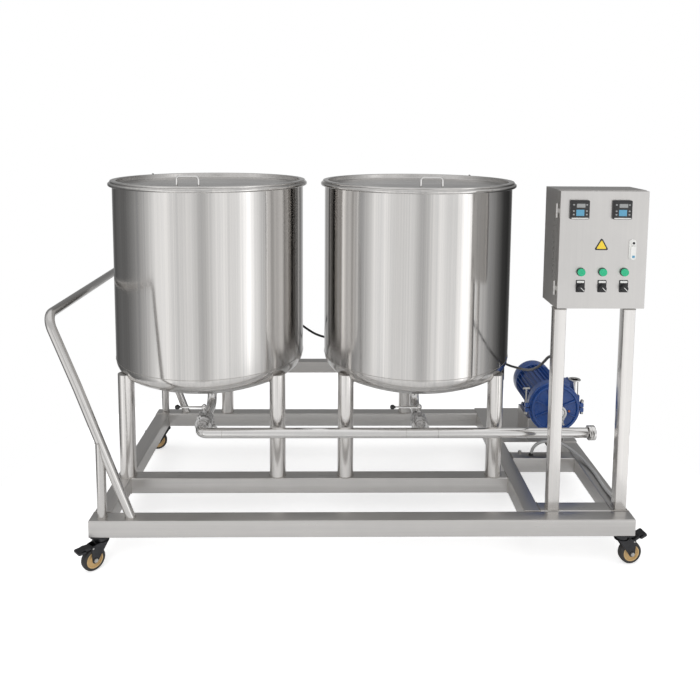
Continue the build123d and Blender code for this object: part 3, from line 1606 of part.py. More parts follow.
def build_nodes():
    """Every node by name, in the building position."""
    left_tank = tank(0)
    right_tank = tank(1)
    nodes = {
        "front_rail": front_rail(),
        "rear_rail": rear_rail(),
        "left_side_rail": side_rail(-half_length),
        "right_side_rail": side_rail(side_inner),
        "inner_rails": inner_rails(),
        "control_posts": control_posts(),
        "tank_legs": tank_legs(),
        "rear_beam": rear_beam(),
        "left_tank": left_tank[0],
        "left_tank_head": left_tank[1],
        "right_tank": right_tank[0],
        "right_tank_head": right_tank[1],
        "tank_ports": tank_ports(),
        "blank_caps": blank_caps(),
        "clamps": clamps(),
        "gaskets": gaskets(),
        "valve_bodies": valve_bodies(),
        "left_valve_lever": valve_lever(0),
        "right_valve_lever": valve_lever(1),
        "manifold": manifold(),
        "manifold_cap": manifold_cap(),
        "push_handle": push_handle(),
        "pump_stand": pump_stand(),
        "pump_casing": pump_casing(),
        "pump_cover": pump_cover(),
        "casing_band": casing_band(),
        "discharge_pipe": discharge(),
        "motor_body": motor_body(),
        "fan_cowl": fan_cowl(),
        "terminal_box": terminal_box(),
        "pump_rotor": pump_rotor(),
        "cooling_fan": cooling_fan(),
        "left_lid": lid(0),
        "right_lid": lid(1),
        "caster_plates": caster_plates(),
        "cabinet": cabinet(),
        "door": door(),
        "temperature_controllers": meters(),
        "pilot_lamps": lamps(),
        "door_plates": door_plates(),
        "door_latch": latch(),
        "switchgear": switchgear(),
        "probe_lead": probe_lead(),
        "conduit": conduit(),
        "cable_fittings": cable_fittings(),
    }
    for index in range(3):
        nodes["selector_%d" % (index + 1)] = selector(index)
    for number, name in enumerate(caster_names):
        nodes[name + "_fork"] = caster_fork(number)
        nodes[name + "_wheel"] = caster_wheel(number)
        nodes[name + "_pedal"] = brake_pedal(number)
    return nodes


def bottom_centre(nodes):
    """The middle of the whole unit's box, at floor level."""
    boxes = [shape.bounding_box() for shape in nodes.values()]
    x0 = min(box.min.X for box in boxes)
    x1 = max(box.max.X for box in boxes)
    y0 = min(box.min.Y for box in boxes)
    y1 = max(box.max.Y for box in boxes)
    return ((x0 + x1) / 2, (y0 + y1) / 2, 0.0)


nodes = build_nodes()
origin = bottom_centre(nodes)
shift = Pos(-origin[0], -origin[1], -origin[2])
os.makedirs("parts", exist_ok=True)
for name, shape in nodes.items():
    export_step(shift * shape, "parts/%s.step" % name)
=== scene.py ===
"""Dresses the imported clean-in-place unit: tanks, lids, frame, pipes, pump, controls, casters and studio."""
from math import acos, asin, atan2, cos, pi, radians, sin, sqrt

import bmesh
import bpy
import numpy as np
from bpy.props import FloatProperty, FloatVectorProperty, PointerProperty
from bpy.types import Operator, Panel, PropertyGroup
from mathutils import Matrix, Vector


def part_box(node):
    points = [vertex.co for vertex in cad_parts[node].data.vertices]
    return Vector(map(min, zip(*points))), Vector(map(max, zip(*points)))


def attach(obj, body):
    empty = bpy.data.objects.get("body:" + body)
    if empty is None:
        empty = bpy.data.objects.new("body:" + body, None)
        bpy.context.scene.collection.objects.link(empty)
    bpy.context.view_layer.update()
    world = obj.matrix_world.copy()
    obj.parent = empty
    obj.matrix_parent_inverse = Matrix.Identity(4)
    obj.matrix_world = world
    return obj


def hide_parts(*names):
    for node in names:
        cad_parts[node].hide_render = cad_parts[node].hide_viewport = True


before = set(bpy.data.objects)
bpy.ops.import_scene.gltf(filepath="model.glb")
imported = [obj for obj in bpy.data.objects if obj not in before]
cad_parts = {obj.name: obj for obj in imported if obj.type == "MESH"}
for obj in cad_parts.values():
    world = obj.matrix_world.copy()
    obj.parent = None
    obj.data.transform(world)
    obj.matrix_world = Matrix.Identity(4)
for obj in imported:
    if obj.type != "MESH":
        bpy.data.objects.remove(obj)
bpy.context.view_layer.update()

bl_info = {
    "name": "Clean-in-place unit",
    "version": (1, 0, 0),
    "blender": (4, 5, 0),
    "location": "3D view > Sidebar > Unit",
    "description": "Builds the visible pieces of a clean-in-place unit around its packed model",
    "category": "Object",
}

# Design millimetres start at the middle of the front rail's front foot line
MM = 0.001
FRONT_LOW, FRONT_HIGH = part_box("front_rail")
ORIGIN = np.array([(FRONT_LOW.x + FRONT_HIGH.x) / 2, FRONT_LOW.y, 0.0])

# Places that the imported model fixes, in design millimetres
HALF_LENGTH = 935.0
DEPTH = 975.0
RAIL = 60.0
RAIL_LOW = 115.0
RAIL_TOP = 175.0
RAIL_MIDDLE = (RAIL_LOW + RAIL_TOP) / 2
SIDE_INNER = HALF_LENGTH - RAIL
REAR_Y = DEPTH - RAIL
WELD_GAP = 0.2
TANK_RAIL_Y = 297.0
CROSS_X = 564.0
PUMP_RAIL_Y = 460.0
POST_X = (668.0, 906.0)
POST_Y = 82.0
POST_SIDE = 40.0
CABINET_LOW = 898.0
SIDES = ("left", "right")
TANK_X = (-606.0, 226.0)
TANK_Y = 545.0
WALL_FOOT = 604.0
RIM_Z = 1294.0
BEAD_REACH = 16.0
CROWN = 744.0
KNUCKLE = 65.0
LEG_SPREAD = 286.0
LEG_TOP = 578.0
BEAM_LOW = 372.0
LID_TOP = 1301.3
LID_PLATE = 1283.3
LID_OVERHANG = 8.0
LID_FLANGE = 22.0
LID_SHEET = 2.0
HANDLE_Y = 210.0
HANDLE_SHIFT = (-18.0, 13.0)
HANDLE_HALF = 38.5
HANDLE_RISE = 50.0
PIPE_Z = 371.0
PIPE_Y = 262.0
BEND = 48.0
VALVE_Y = 365.0
FACE_NEAR = 338.4
FACE_FAR = 391.6
MANIFOLD_END = 860.4
RETURN_ANGLES = (134.0, 46.0)
RETURN_Z = 1252.0
RETURN_FACE = 402.0
LEFT_PROBE = (42.0, 369.0, 648.0)
RIGHT_PROBE = (11.5, 350.8, 560.2)
PROBE_TILT = 45.0
PUMP_X = 806.0
PUMP_Z = 362.0
DISCHARGE = (896.0, 560.0)
FERRULE = 25.25
FERRULE_NECK = 12.0
PIPE_WALL = 1.5
GASKET_HALF = 0.8
PUMP_FACE = 472.0
CASING_FRONT = 524.0
BAND_Y = 535.0
BAND_BOLT = 116.3
MOTOR_FRONT = 612.0
MOTOR_LENGTH = 203.0
DOOR_FRONT = 62.0
METER_X = (718.0, 862.0)
METER_Z = 1240.0
LAMP_X = (731.0, 805.0, 879.0)
LAMP_Z = 1027.0
SWITCH_Z = 972.0
SIGN_FOOT = (798.0, 1102.0)
LATCH_X = 904.0
LATCH_Z = 1082.5
LATCH_PLATE_Z = 1104.0
CASTERS = ("front_left", "front_right", "rear_left", "rear_right")
CASTER_SPOTS = ((-900.0, 30.0), (900.0, 30.0), (-900.0, 945.0), (900.0, 945.0))
CASTER_TURN = (226.0, 10.0, 200.0, 340.0)
PEDAL_REST = (0.0, 26.0, 0.0, 0.0)
AXLE = (33.0, 40.0)
PEDAL_PIN = (40.0, 84.0)
FORK_TOP = 91.0

# Directions
X = (1.0, 0.0, 0.0)
Y = (0.0, 1.0, 0.0)
Z = (0.0, 0.0, 1.0)
FORWARD = (0.0, -1.0, 0.0)

# Routes of both leads, the points that the part's source holds too
LEAD_ROUTE = (
    (-284, 821.3, 639), (-262, 828, 632), (-228, 840, 602), (-186, 853, 572), (-132, 866, 553),
    (-70, 884, 550), (-8, 902, 569), (68, 921, 602), (164, 932, 624), (288, 932, 624),
    (388, 914, 594), (466, 890, 551), (544, 857, 508), (616, 820, 476), (666, 762, 462),
    (688, 680, 478), (691, 580, 505), (686, 480, 538), (679, 385, 577), (672, 298, 618),
    (667, 222, 662), (664, 166, 698), (664, 128, 712),
)
CONDUIT_ROUTE = (
    (706, 490, 184), (708.5, 490, 198), (717, 490, 213), (733, 490.5, 226), (757, 492, 233),
    (789, 494, 234), (826, 494, 226), (860, 485, 208), (886, 461, 191.5), (900, 422, 184.5),
    (907, 370, 182), (909, 306, 182), (905, 242, 182), (903.5, 182, 183), (906, 130, 187),
)


def place(points):
    """Design millimetres to the row frame in metres: point / 1000 + the origin."""
    return np.asarray(points, float).reshape(-1, 3) * MM + ORIGIN


# Surfaces


def grid_faces(rows, columns, wrap_rows=False, wrap_columns=False):
    """Quads between neighbouring points of a grid stored row by row."""
    i = np.arange(rows if wrap_rows else rows - 1)
    j = np.arange(columns if wrap_columns else columns - 1)
    i, j = np.meshgrid(i, j, indexing="ij")
    i_next = (i + 1) % rows
    j_next = (j + 1) % columns
    corners = (i * columns + j, i * columns + j_next, i_next * columns + j_next, i_next * columns + j)
    return np.stack(corners, -1).reshape(-1, 4)


def basis(z_dir, x_dir=None):
    """Rows are x, y and z of a right-handed frame whose z runs along z_dir."""
    z = np.asarray(z_dir, float)
    z = z / np.linalg.norm(z)
    guide = np.array(X if x_dir is None else x_dir, float)
    if abs(guide @ z) > 0.98 * np.linalg.norm(guide):
        guide = np.array(Y)
    x = guide - z * (guide @ z)
    x = x / np.linalg.norm(x)
    return np.stack((x, np.cross(z, x), z))


def put(points, origin, z_dir=Z, x_dir=None):
    """Local points to design millimetres: origin + x X + y Y + z Z."""
    return np.asarray(points, float).reshape(-1, 3) @ basis(z_dir, x_dir) + np.asarray(origin, float)


def rounded(corners, radii, steps=5, closed=True):
    """An outline or path whose corners are arcs: centre + (sin((1-t) s) A + sin(t s) B) / sin s."""
    pts = np.asarray(corners, float)
    count = len(pts)
    radii = np.broadcast_to(np.asarray(radii, float), (count,))
    out = []
    for k in range(count):
        here = pts[k]
        if radii[k] <= 0 or (not closed and k in (0, count - 1)):
            out.append(here[None])
            continue
        a = pts[k - 1] - here
        b = pts[(k + 1) % count] - here
        length_a, length_b = np.linalg.norm(a), np.linalg.norm(b)
        a, b = a / length_a, b / length_b
        half = acos(float(np.clip(a @ b, -1, 1))) / 2
        if half > radians(89.5):
            out.append(here[None])
            continue
        reach = min(radii[k] / np.tan(half), 0.49 * min(length_a, length_b))
        radius = reach * np.tan(half)
        centre = here + (a + b) / np.linalg.norm(a + b) * radius / sin(half)
        first = here + a * reach - centre
        last = here + b * reach - centre
        sweep = pi - 2 * half
        t = np.linspace(0, 1, steps + 1)[:, None]
        out.append(centre + (np.sin((1 - t) * sweep) * first + np.sin(t * sweep) * last) / sin(sweep))
    return np.concatenate(out)


def mirrored(half, radii, steps=3):
    """A closed section (r, z) from its lower half, copied upwards over z = 0, with rounded corners."""
    corners = list(half) + [(r, -z) for r, z in reversed(half)]
    return rounded(corners, list(radii) + list(reversed(radii)), steps)


def flat(outline, height=0.0):
    """Outline points (x, y) with one z."""
    outline = np.asarray(outline, float)
    return np.column_stack((outline, np.full(len(outline), height)))


def circle(radius, sides=48, centre=(0.0, 0.0)):
    """Points round a circle: centre + (r cos t, r sin t)."""
    t = np.linspace(0, 2 * pi, sides, endpoint=False)
    return np.column_stack((radius * np.cos(t), radius * np.sin(t))) + centre


def box_outline(width, height, radius, steps=5):
    """A rectangle about the origin with rounded corners."""
    w, h = width / 2, height / 2
    return rounded(((-w, -h), (w, -h), (w, h), (-w, h)), radius, steps)


def spun(outline, angle):
    """An outline turned about the origin by an angle in degrees."""
    c, s = cos(radians(angle)), sin(radians(angle))
    return np.asarray(outline, float) @ np.array(((c, s), (-s, c)))


def hull_outline(discs, count=64):
    """The band round some discs (x, y, r): for each direction n the farthest of centre + r n."""
    discs = np.asarray(discs, float)
    t = np.linspace(0, 2 * pi, count, endpoint=False)
    n = np.column_stack((np.cos(t), np.sin(t)))
    far = np.argmax(n @ discs[:, :2].T + discs[:, 2], axis=1)
    return discs[far, :2] + n * discs[far, 2:]


def lathe(profile, turns=96, closed=True, arc=None):
    """Surface of revolution: x = r cos t, y = r sin t, z = z for each (r, z), over a whole turn or an arc."""
    profile = np.asarray(profile, float)
    count = len(profile)
    r, z = profile[:, :1], profile[:, 1:]
    if arc is None:
        t = np.linspace(0, 2 * pi, turns, endpoint=False)
        faces = [grid_faces(count, turns, closed, True)]
    else:
        t = np.linspace(arc[0], arc[1], turns)
        ring = np.arange(count) * turns
        faces = [grid_faces(count, turns, closed, False), ring[None, ::-1], ring[None] + turns - 1]
    points = np.stack((r * np.cos(t), r * np.sin(t), z + 0 * t), -1)
    return points.reshape(-1, 3), faces


def stack_of(rings):
    """Rings of equal count joined by quads, with the first and last ring closed."""
    count = len(rings[0])
    ring = np.arange(count)
    last = (len(rings) - 1) * count
    faces = [grid_faces(len(rings), count, False, True), ring[None, ::-1], ring[None] + last]
    return np.concatenate(rings), faces


def prism(outline, low, high):
    """A straight prism: the outline at z = low and at z = high, with both ends closed."""
    return stack_of([flat(outline, low), flat(outline, high)])


def shrunk(outline, amount):
    """An outline moved inwards along its own normals."""
    ahead = np.roll(outline, -1, 0) - outline
    behind = outline - np.roll(outline, 1, 0)
    ahead /= np.linalg.norm(ahead, axis=1)[:, None]
    behind /= np.linalg.norm(behind, axis=1)[:, None]
    along = ahead + behind
    inward = np.column_stack((-along[:, 1], along[:, 0])) / np.linalg.norm(along, axis=1)[:, None]
    after = np.roll(outline, -1, 0)
    area = np.sum(outline[:, 0] * after[:, 1] - outline[:, 1] * after[:, 0])
    return outline + inward * np.sign(area) * amount


def pillow(outline, low, high, edge, steps=4):
    """A prism with a rounded top edge: it shrinks by e (1 - cos t) as z rises by e sin t."""
    outline = np.asarray(outline, float)
    rings = [flat(outline, low)]
    for t in np.linspace(0, pi / 2, steps + 1):
        rings.append(flat(shrunk(outline, edge * (1 - cos(t))), high - edge + edge * sin(t)))
    return stack_of(rings)


def tube(path, radius, sides=28, ends=True, closed=False, up=None):
    """Circles of a radius carried along a path without twist, or kept upright by an up direction."""
    path = np.asarray(path, float)
    if closed:
        tangent = np.roll(path, -1, 0) - np.roll(path, 1, 0)
    else:
        tangent = np.gradient(path, axis=0)
    tangent = tangent / np.linalg.norm(tangent, axis=1)[:, None]
    if up is not None:
        normals = np.cross(np.broadcast_to(np.asarray(up, float), tangent.shape), tangent)
        normals /= np.linalg.norm(normals, axis=1)[:, None]
    else:
        normal = basis(tangent[0])[0]
        normals = [normal]
        for step in tangent[1:]:
            normal = normal - step * (normal @ step)
            normal = normal / np.linalg.norm(normal)
            normals.append(normal)
        normals = np.array(normals)
    binormals = np.cross(tangent, normals)
    t = np.linspace(0, 2 * pi, sides, endpoint=False)
    radius = np.broadcast_to(np.asarray(radius, float), (len(path),))[:, None, None]
    ring = np.cos(t)[None, :, None] * normals[:, None] + np.sin(t)[None, :, None] * binormals[:, None]
    points = (path[:, None] + radius * ring).reshape(-1, 3)
    faces = [grid_faces(len(path), sides, closed, True)]
    if ends and not closed:
        ring_index = np.arange(sides)
        faces += [ring_index[None, ::-1], ring_index[None] + (len(path) - 1) * sides]
    return points, faces


def pipe(path, outer, inner, sides=48):
    """A hollow pipe: an outer and an inner tube along one path, joined by a ring at each end."""
    outside, skin = tube(path, outer, sides, False)
    inside, _ = tube(path, inner, sides, False)
    count = len(outside)
    here = np.arange(sides)
    ahead = (here + 1) % sides
    faces = [skin[0], skin[0] + count]
    for start in (0, count - sides):
        faces.append(np.column_stack((here, ahead, ahead + count, here + count)) + start)
    return np.concatenate((outside, inside)), faces


def seam(path, radius=1.8, up=Z, closed=True):
    """A weld bead: a thin round line whose radius ripples as r (1 + 0.13 sin s) along its length s."""
    path = np.asarray(path, float)
    if closed:
        path = np.vstack((path, path[:1]))
    run = np.concatenate(((0,), np.cumsum(np.linalg.norm(np.diff(path, axis=0), axis=1))))
    count = max(12, int(run[-1] / 1.7))
    at = np.linspace(0, run[-1], count, endpoint=not closed)
    even = np.column_stack([np.interp(at, run, path[:, k]) for k in range(3)])
    waves = max(2, round(run[-1] / 5.2))
    ripple = radius * (1 + 0.13 * np.sin(2 * pi * waves * at / run[-1]))
    return tube(even, ripple, 10, True, closed, up)


def rod(start, end, radius, sides=40, chamfer=0.0):
    """A round bar between two points, with an optional small chamfer at each end."""
    start, end = np.asarray(start, float), np.asarray(end, float)
    axis = end - start
    length = np.linalg.norm(axis)
    profile = [(0, 0), (radius - chamfer, 0), (radius, chamfer), (radius, length - chamfer)]
    profile += [(radius - chamfer, length), (0, length)]
    points, faces = lathe(profile, sides, closed=False)
    return put(points, start, axis), faces


def cross_pin(spot, half, radius, chamfer):
    """A pin along Y through a point (x, z)."""
    return rod((spot[0], -half, spot[1]), (spot[0], half, spot[1]), radius, 24, chamfer)


def ball(centre, radius, sides=36):
    """A sphere: r = R cos a, z = R sin a turned round Z."""
    a = np.linspace(-pi / 2, pi / 2, sides // 2 + 1)
    points, faces = lathe(np.column_stack((radius * np.cos(a), radius * np.sin(a))), sides, closed=False)
    return points + np.asarray(centre, float), faces


def hexagon(across, low, high, chamfer=0.8):
    """A hexagonal nut or bolt head with its upper corners turned off."""
    outline = circle(across / sqrt(3), 6)
    return stack_of([flat(outline, low), flat(outline, high - chamfer), flat(outline * 0.9, high)])


def add_object(name, data):
    """A new object in the scene's own collection."""
    holder = bpy.data.objects.new(name, data)
    bpy.context.scene.collection.objects.link(holder)
    return holder


class Form:
    """Surfaces gathered into one mesh. Points are design millimetres and marks choose the material."""

    def __init__(self):
        self.points, self.faces, self.marks, self.count = [], [], [], 0

    def add(self, surface, mark=0, origin=None, z_dir=Z, x_dir=None):
        """Takes (points, faces), put at an origin and direction first if these are given."""
        points, faces = surface
        if origin is not None:
            points = put(points, origin, z_dir, x_dir)
        for group in faces:
            self.faces.extend((np.asarray(group) + self.count).tolist())
            self.marks.extend([mark] * len(group))
        self.points.append(np.asarray(points, float).reshape(-1, 3))
        self.count += len(self.points[-1])
        return self

    def turn(self, pivot, axis, angle):
        """Turns everything so far by an angle in degrees about an axis through a pivot."""
        frame_of = basis(axis)
        c, s = cos(radians(angle)), sin(radians(angle))
        spin = np.array(((c, s, 0), (-s, c, 0), (0, 0, 1)))
        pivot = np.asarray(pivot, float)
        self.points = [(p - pivot) @ frame_of.T @ spin @ frame_of + pivot for p in self.points]
        return self

    def shift(self, step):
        """Moves everything so far by a step."""
        self.points = [p + np.asarray(step, float) for p in self.points]
        return self

    def mesh(self, name, materials):
        """The surfaces so far as one mesh, with doubles merged and faces turned outwards."""
        mesh = bpy.data.meshes.new(name)
        mesh.from_pydata(place(np.concatenate(self.points)).tolist(), [], self.faces)
        for one in materials:
            mesh.materials.append(one)
        mesh.polygons.foreach_set("material_index", self.marks)
        tidy_mesh(mesh)
        return mesh

    def build(self, name, body, materials, slot, replaces=(), bevel=0.0, sharp=38.0):
        """Makes the piece, shaded smooth up to the sharp angle, and puts it on its body."""
        mesh = self.mesh(name, [finish(one) for one in materials])
        mesh.shade_smooth()
        mesh.set_sharp_from_angle(angle=radians(sharp))
        piece = add_object(name, mesh)
        if bevel > 0:
            edge = piece.modifiers.new("edges", "BEVEL")
            edge.width = bevel * MM
            edge.segments = 3
            edge.limit_method = "ANGLE"
            edge.angle_limit = radians(52)
            edge.harden_normals = True
        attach(piece, body)
        if replaces:
            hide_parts(*replaces)
        return piece


def tidy_mesh(mesh):
    """Merges doubled points, drops collapsed faces and points every shell's faces outwards."""
    work = bmesh.new()
    work.from_mesh(mesh)
    bmesh.ops.remove_doubles(work, verts=work.verts, dist=2e-6)
    bmesh.ops.dissolve_degenerate(work, edges=work.edges, dist=1e-6)
    bmesh.ops.recalc_face_normals(work, faces=work.faces)
    work.to_mesh(mesh)
    work.free()


# Shader groups and finishes

GROUPS = {}
FINISHES = {}


def new_group(name, inputs, outputs):
    """A shader node group with named float, vector or colour sockets."""
    kinds = {"float": "NodeSocketFloat", "vector": "NodeSocketVector", "colour": "NodeSocketColor"}
    tree = bpy.data.node_groups.new(name, "ShaderNodeTree")
    for label, kind in inputs:
        tree.interface.new_socket(name=label, in_out="INPUT", socket_type=kinds[kind])
    for label, kind in outputs:
        tree.interface.new_socket(name=label, in_out="OUTPUT", socket_type=kinds[kind])
    return tree, tree.nodes.new("NodeGroupInput"), tree.nodes.new("NodeGroupOutput")


def feed(tree, value, socket):
    """Gives a socket a number of its own or a link from another node."""
    if isinstance(value, (int, float)):
        socket.default_value = value
    else:
        tree.links.new(value, socket)


def maths(tree, operation, a, b=None, c=None, clamp=False):
    """One Math node fed by sockets or numbers."""
    node = tree.nodes.new("ShaderNodeMath")
    node.operation = operation
    node.use_clamp = clamp
    for number, value in enumerate((a, b, c)):
        if value is not None:
            feed(tree, value, node.inputs[number])
    return node.outputs[0]


def blend_colours(tree, factor, a, b):
    """One colour Mix node fed by sockets."""
    node = tree.nodes.new("ShaderNodeMix")
    node.data_type = "RGBA"
    for number, value in ((0, factor), (6, a), (7, b)):
        tree.links.new(value, node.inputs[number])
    return node.outputs[2]


def noise(tree, vector, scale, detail=4.0, rough=0.55):
    """A noise texture's value from a vector socket."""
    node = tree.nodes.new("ShaderNodeTexNoise")
    node.inputs["Detail"].default_value = detail
    node.inputs["Roughness"].default_value = rough
    tree.links.new(vector, node.inputs["Vector"])
    feed(tree, scale, node.inputs["Scale"])
    return node.outputs[0]


def make_brushed_group():
    """Brushed metal: long fine lines, wider streaks and soft smudges on object coordinates."""
    inputs = (
        ("Vector", "vector"),
        ("Stretch", "vector"),
        ("Light", "colour"),
        ("Dark", "colour"),
        ("Roughness", "float"),
        ("Lines", "float"),
        ("Smudges", "float"),
    )
    outputs = (("Colour", "colour"), ("Roughness", "float"), ("Height", "float"))
    tree, take, give = new_group("brushed_metal", inputs, outputs)
    scaled = tree.nodes.new("ShaderNodeVectorMath")
    scaled.operation = "MULTIPLY"
    tree.links.new(take.outputs["Vector"], scaled.inputs[0])
    tree.links.new(take.outputs["Stretch"], scaled.inputs[1])
    lines = noise(tree, scaled.outputs[0], 1.0, 6.0, 0.7)
    streaks = noise(tree, scaled.outputs[0], 0.2, 3.0, 0.6)
    smudges = noise(tree, take.outputs["Vector"], 5.0, 4.0, 0.6)
    line_part = maths(tree, "SUBTRACT", lines, 0.5)
    streak_part = maths(tree, "SUBTRACT", streaks, 0.5)
    smudge_part = maths(tree, "SUBTRACT", smudges, 0.5)
    detail = maths(tree, "MULTIPLY_ADD", streak_part, 0.9, line_part)
    detail = maths(tree, "MULTIPLY", detail, take.outputs["Lines"])
    wear = maths(tree, "MULTIPLY", smudge_part, take.outputs["Smudges"])
    shade = maths(tree, "ADD", maths(tree, "ADD", detail, wear), 0.5, clamp=True)
    colour = blend_colours(tree, shade, take.outputs["Light"], take.outputs["Dark"])
    rough = maths(tree, "MULTIPLY_ADD", detail, 0.25, take.outputs["Roughness"])
    rough = maths(tree, "MULTIPLY_ADD", wear, 0.3, rough, clamp=True)
    height = maths(tree, "MULTIPLY_ADD", streaks, 2.5, lines)
    tree.links.new(colour, give.inputs["Colour"])
    tree.links.new(rough, give.inputs["Roughness"])
    tree.links.new(height, give.inputs["Height"])
    return tree


def make_speckle_group():
    """Paint, plastic and rubber: fine pores and faint dust that settles unevenly."""
    inputs = (
        ("Vector", "vector"),
        ("Grain", "float"),
        ("Base", "colour"),
        ("Dust", "colour"),
        ("Roughness", "float"),
        ("Amount", "float"),
    )
    outputs = (("Colour", "colour"), ("Roughness", "float"), ("Height", "float"))
    tree, take, give = new_group("speckled_surface", inputs, outputs)
    grain = noise(tree, take.outputs["Vector"], take.outputs["Grain"], 5.0, 0.6)
    patches = noise(tree, take.outputs["Vector"], 9.0, 5.0, 0.62)
    spread = maths(tree, "SUBTRACT", patches, 0.4, clamp=True)
    spread = maths(tree, "MULTIPLY", spread, take.outputs["Amount"])
    colour = blend_colours(tree, spread, take.outputs["Base"], take.outputs["Dust"])
    rough = maths(tree, "MULTIPLY_ADD", spread, 0.6, take.outputs["Roughness"])
    rough = maths(tree, "MULTIPLY_ADD", maths(tree, "SUBTRACT", grain, 0.5), 0.14, rough, clamp=True)
    tree.links.new(colour, give.inputs["Colour"])
    tree.links.new(rough, give.inputs["Roughness"])
    tree.links.new(grain, give.inputs["Height"])
    return tree


def group_node(tree, name, vector, **values):
    """Places a shared group in a material, with its own values."""
    makers = {"brushed_metal": make_brushed_group, "speckled_surface": make_speckle_group}
    if name not in GROUPS:
        GROUPS[name] = makers[name]()
    node = tree.nodes.new("ShaderNodeGroup")
    node.node_tree = GROUPS[name]
    tree.links.new(vector, node.inputs["Vector"])
    for label, value in values.items():
        socket = node.inputs[label]
        socket.default_value = (*value, 1.0) if socket.type == "RGBA" else value
    return node


def start_material(name):
    """A node material with its Principled shader and an object coordinate socket."""
    material = bpy.data.materials.new(name)
    material.use_nodes = True
    tree = material.node_tree
    shader = tree.nodes["Principled BSDF"]
    coordinates = tree.nodes.new("ShaderNodeTexCoord").outputs["Object"]
    return material, tree, shader, coordinates


def bump_into(tree, shader, height, strength, distance):
    """A Bump node from a height socket to the shader's normal."""
    bump = tree.nodes.new("ShaderNodeBump")
    bump.inputs["Strength"].default_value = strength
    bump.inputs["Distance"].default_value = distance
    tree.links.new(height, bump.inputs["Height"])
    tree.links.new(bump.outputs[0], shader.inputs["Normal"])


def finish_from(name, group, values, bump, distance):
    """A finish whose colour, roughness and bump come from a shared group. Gives its shader."""
    material, tree, shader, coordinates = start_material(name)
    node = group_node(tree, group, coordinates, **values)
    tree.links.new(node.outputs["Colour"], shader.inputs["Base Color"])
    tree.links.new(node.outputs["Roughness"], shader.inputs["Roughness"])
    bump_into(tree, shader, node.outputs["Height"], bump, distance)
    FINISHES[name] = material
    return shader


def metal(name, light, dark, roughness, stretch, lines=0.5, smudges=0.4, bump=0.1):
    """A brushed or polished metal whose grain runs along the smallest stretch."""
    values = dict(Stretch=stretch, Light=light, Dark=dark, Roughness=roughness, Lines=lines, Smudges=smudges)
    shader = finish_from(name, "brushed_metal", values, bump, 0.0001)
    shader.inputs["Metallic"].default_value = 1.0
    return shader


def speckled(name, base, dust, roughness, grain=900.0, amount=0.3, coat=0.0, bump=0.1):
    """A painted, moulded or rubber surface with fine pores and a little dust."""
    values = dict(Grain=grain, Base=base, Dust=dust, Roughness=roughness, Amount=amount)
    shader = finish_from(name, "speckled_surface", values, bump, 0.0003)
    shader.inputs["Coat Weight"].default_value = coat
    shader.inputs["Coat Roughness"].default_value = 0.12
    return shader


def toned(colour, factor, lift=0.0):
    """A colour times a factor, plus a lift."""
    return tuple(c * factor + lift for c in colour)


def make_metals():
    """Steel with its grain along X, Y or Z, and the polished, cast, welded and plated metals."""
    tones = bpy.context.scene.unit_colours
    light, dark = tuple(tones.steel_light), tuple(tones.steel_dark)
    shader = metal("tank_wall_steel", light, dark, 0.14, (210.0, 210.0, 0.4), 0.95, 0.08, 0.03)
    shader.inputs["Anisotropic"].default_value = 0.85
    shader.inputs["Anisotropic Rotation"].default_value = 0.25
    metal("lid_steel", light, dark, 0.2, (3.0, 260.0, 60.0), 0.5, 0.35, 0.08)
    metal("satin_along_x", light, dark, 0.3, (2.5, 330.0, 330.0), 0.4, 0.35, 0.08)
    metal("satin_along_y", light, dark, 0.33, (330.0, 2.5, 330.0), 0.4, 0.35, 0.08)
    # Upright satin steel for the posts and legs: its light and dark tones are lighter than the rails' steel,
    # a painted highlight standing in for the brighter light these uprights catch
    metal("satin_along_z", (0.92, 0.89, 0.86), (0.66, 0.65, 0.64), 0.2, (330.0, 330.0, 2.5), 0.4, 0.3, 0.06)
    metal("cabinet_steel", light, dark, 0.33, (420.0, 420.0, 4.0), 0.16, 0.25, 0.05)
    metal("handle_steel", light, dark, 0.15, (110.0, 110.0, 110.0), 0.25, 0.3, 0.015)
    metal("pipe_steel", (0.92, 0.91, 0.9), (0.66, 0.65, 0.64), 0.1, (60.0, 60.0, 60.0), 0.3, 0.25, 0.01)
    metal("cast_steel", (0.72, 0.71, 0.7), (0.42, 0.42, 0.42), 0.24, (240.0, 240.0, 240.0), 0.7, 0.5, 0.3)
    metal("weld_steel", (0.72, 0.7, 0.66), (0.3, 0.28, 0.27), 0.3, (300.0, 300.0, 300.0), 1.1, 0.9, 0.4)
    metal("zinc_steel", (0.72, 0.71, 0.68), (0.45, 0.44, 0.42), 0.33, (90.0, 90.0, 90.0), 0.8, 0.7, 0.2)
    metal("black_steel", (0.1, 0.1, 0.105), (0.03, 0.03, 0.032), 0.32, (120.0, 120.0, 120.0), 0.5, 0.6, 0.2)


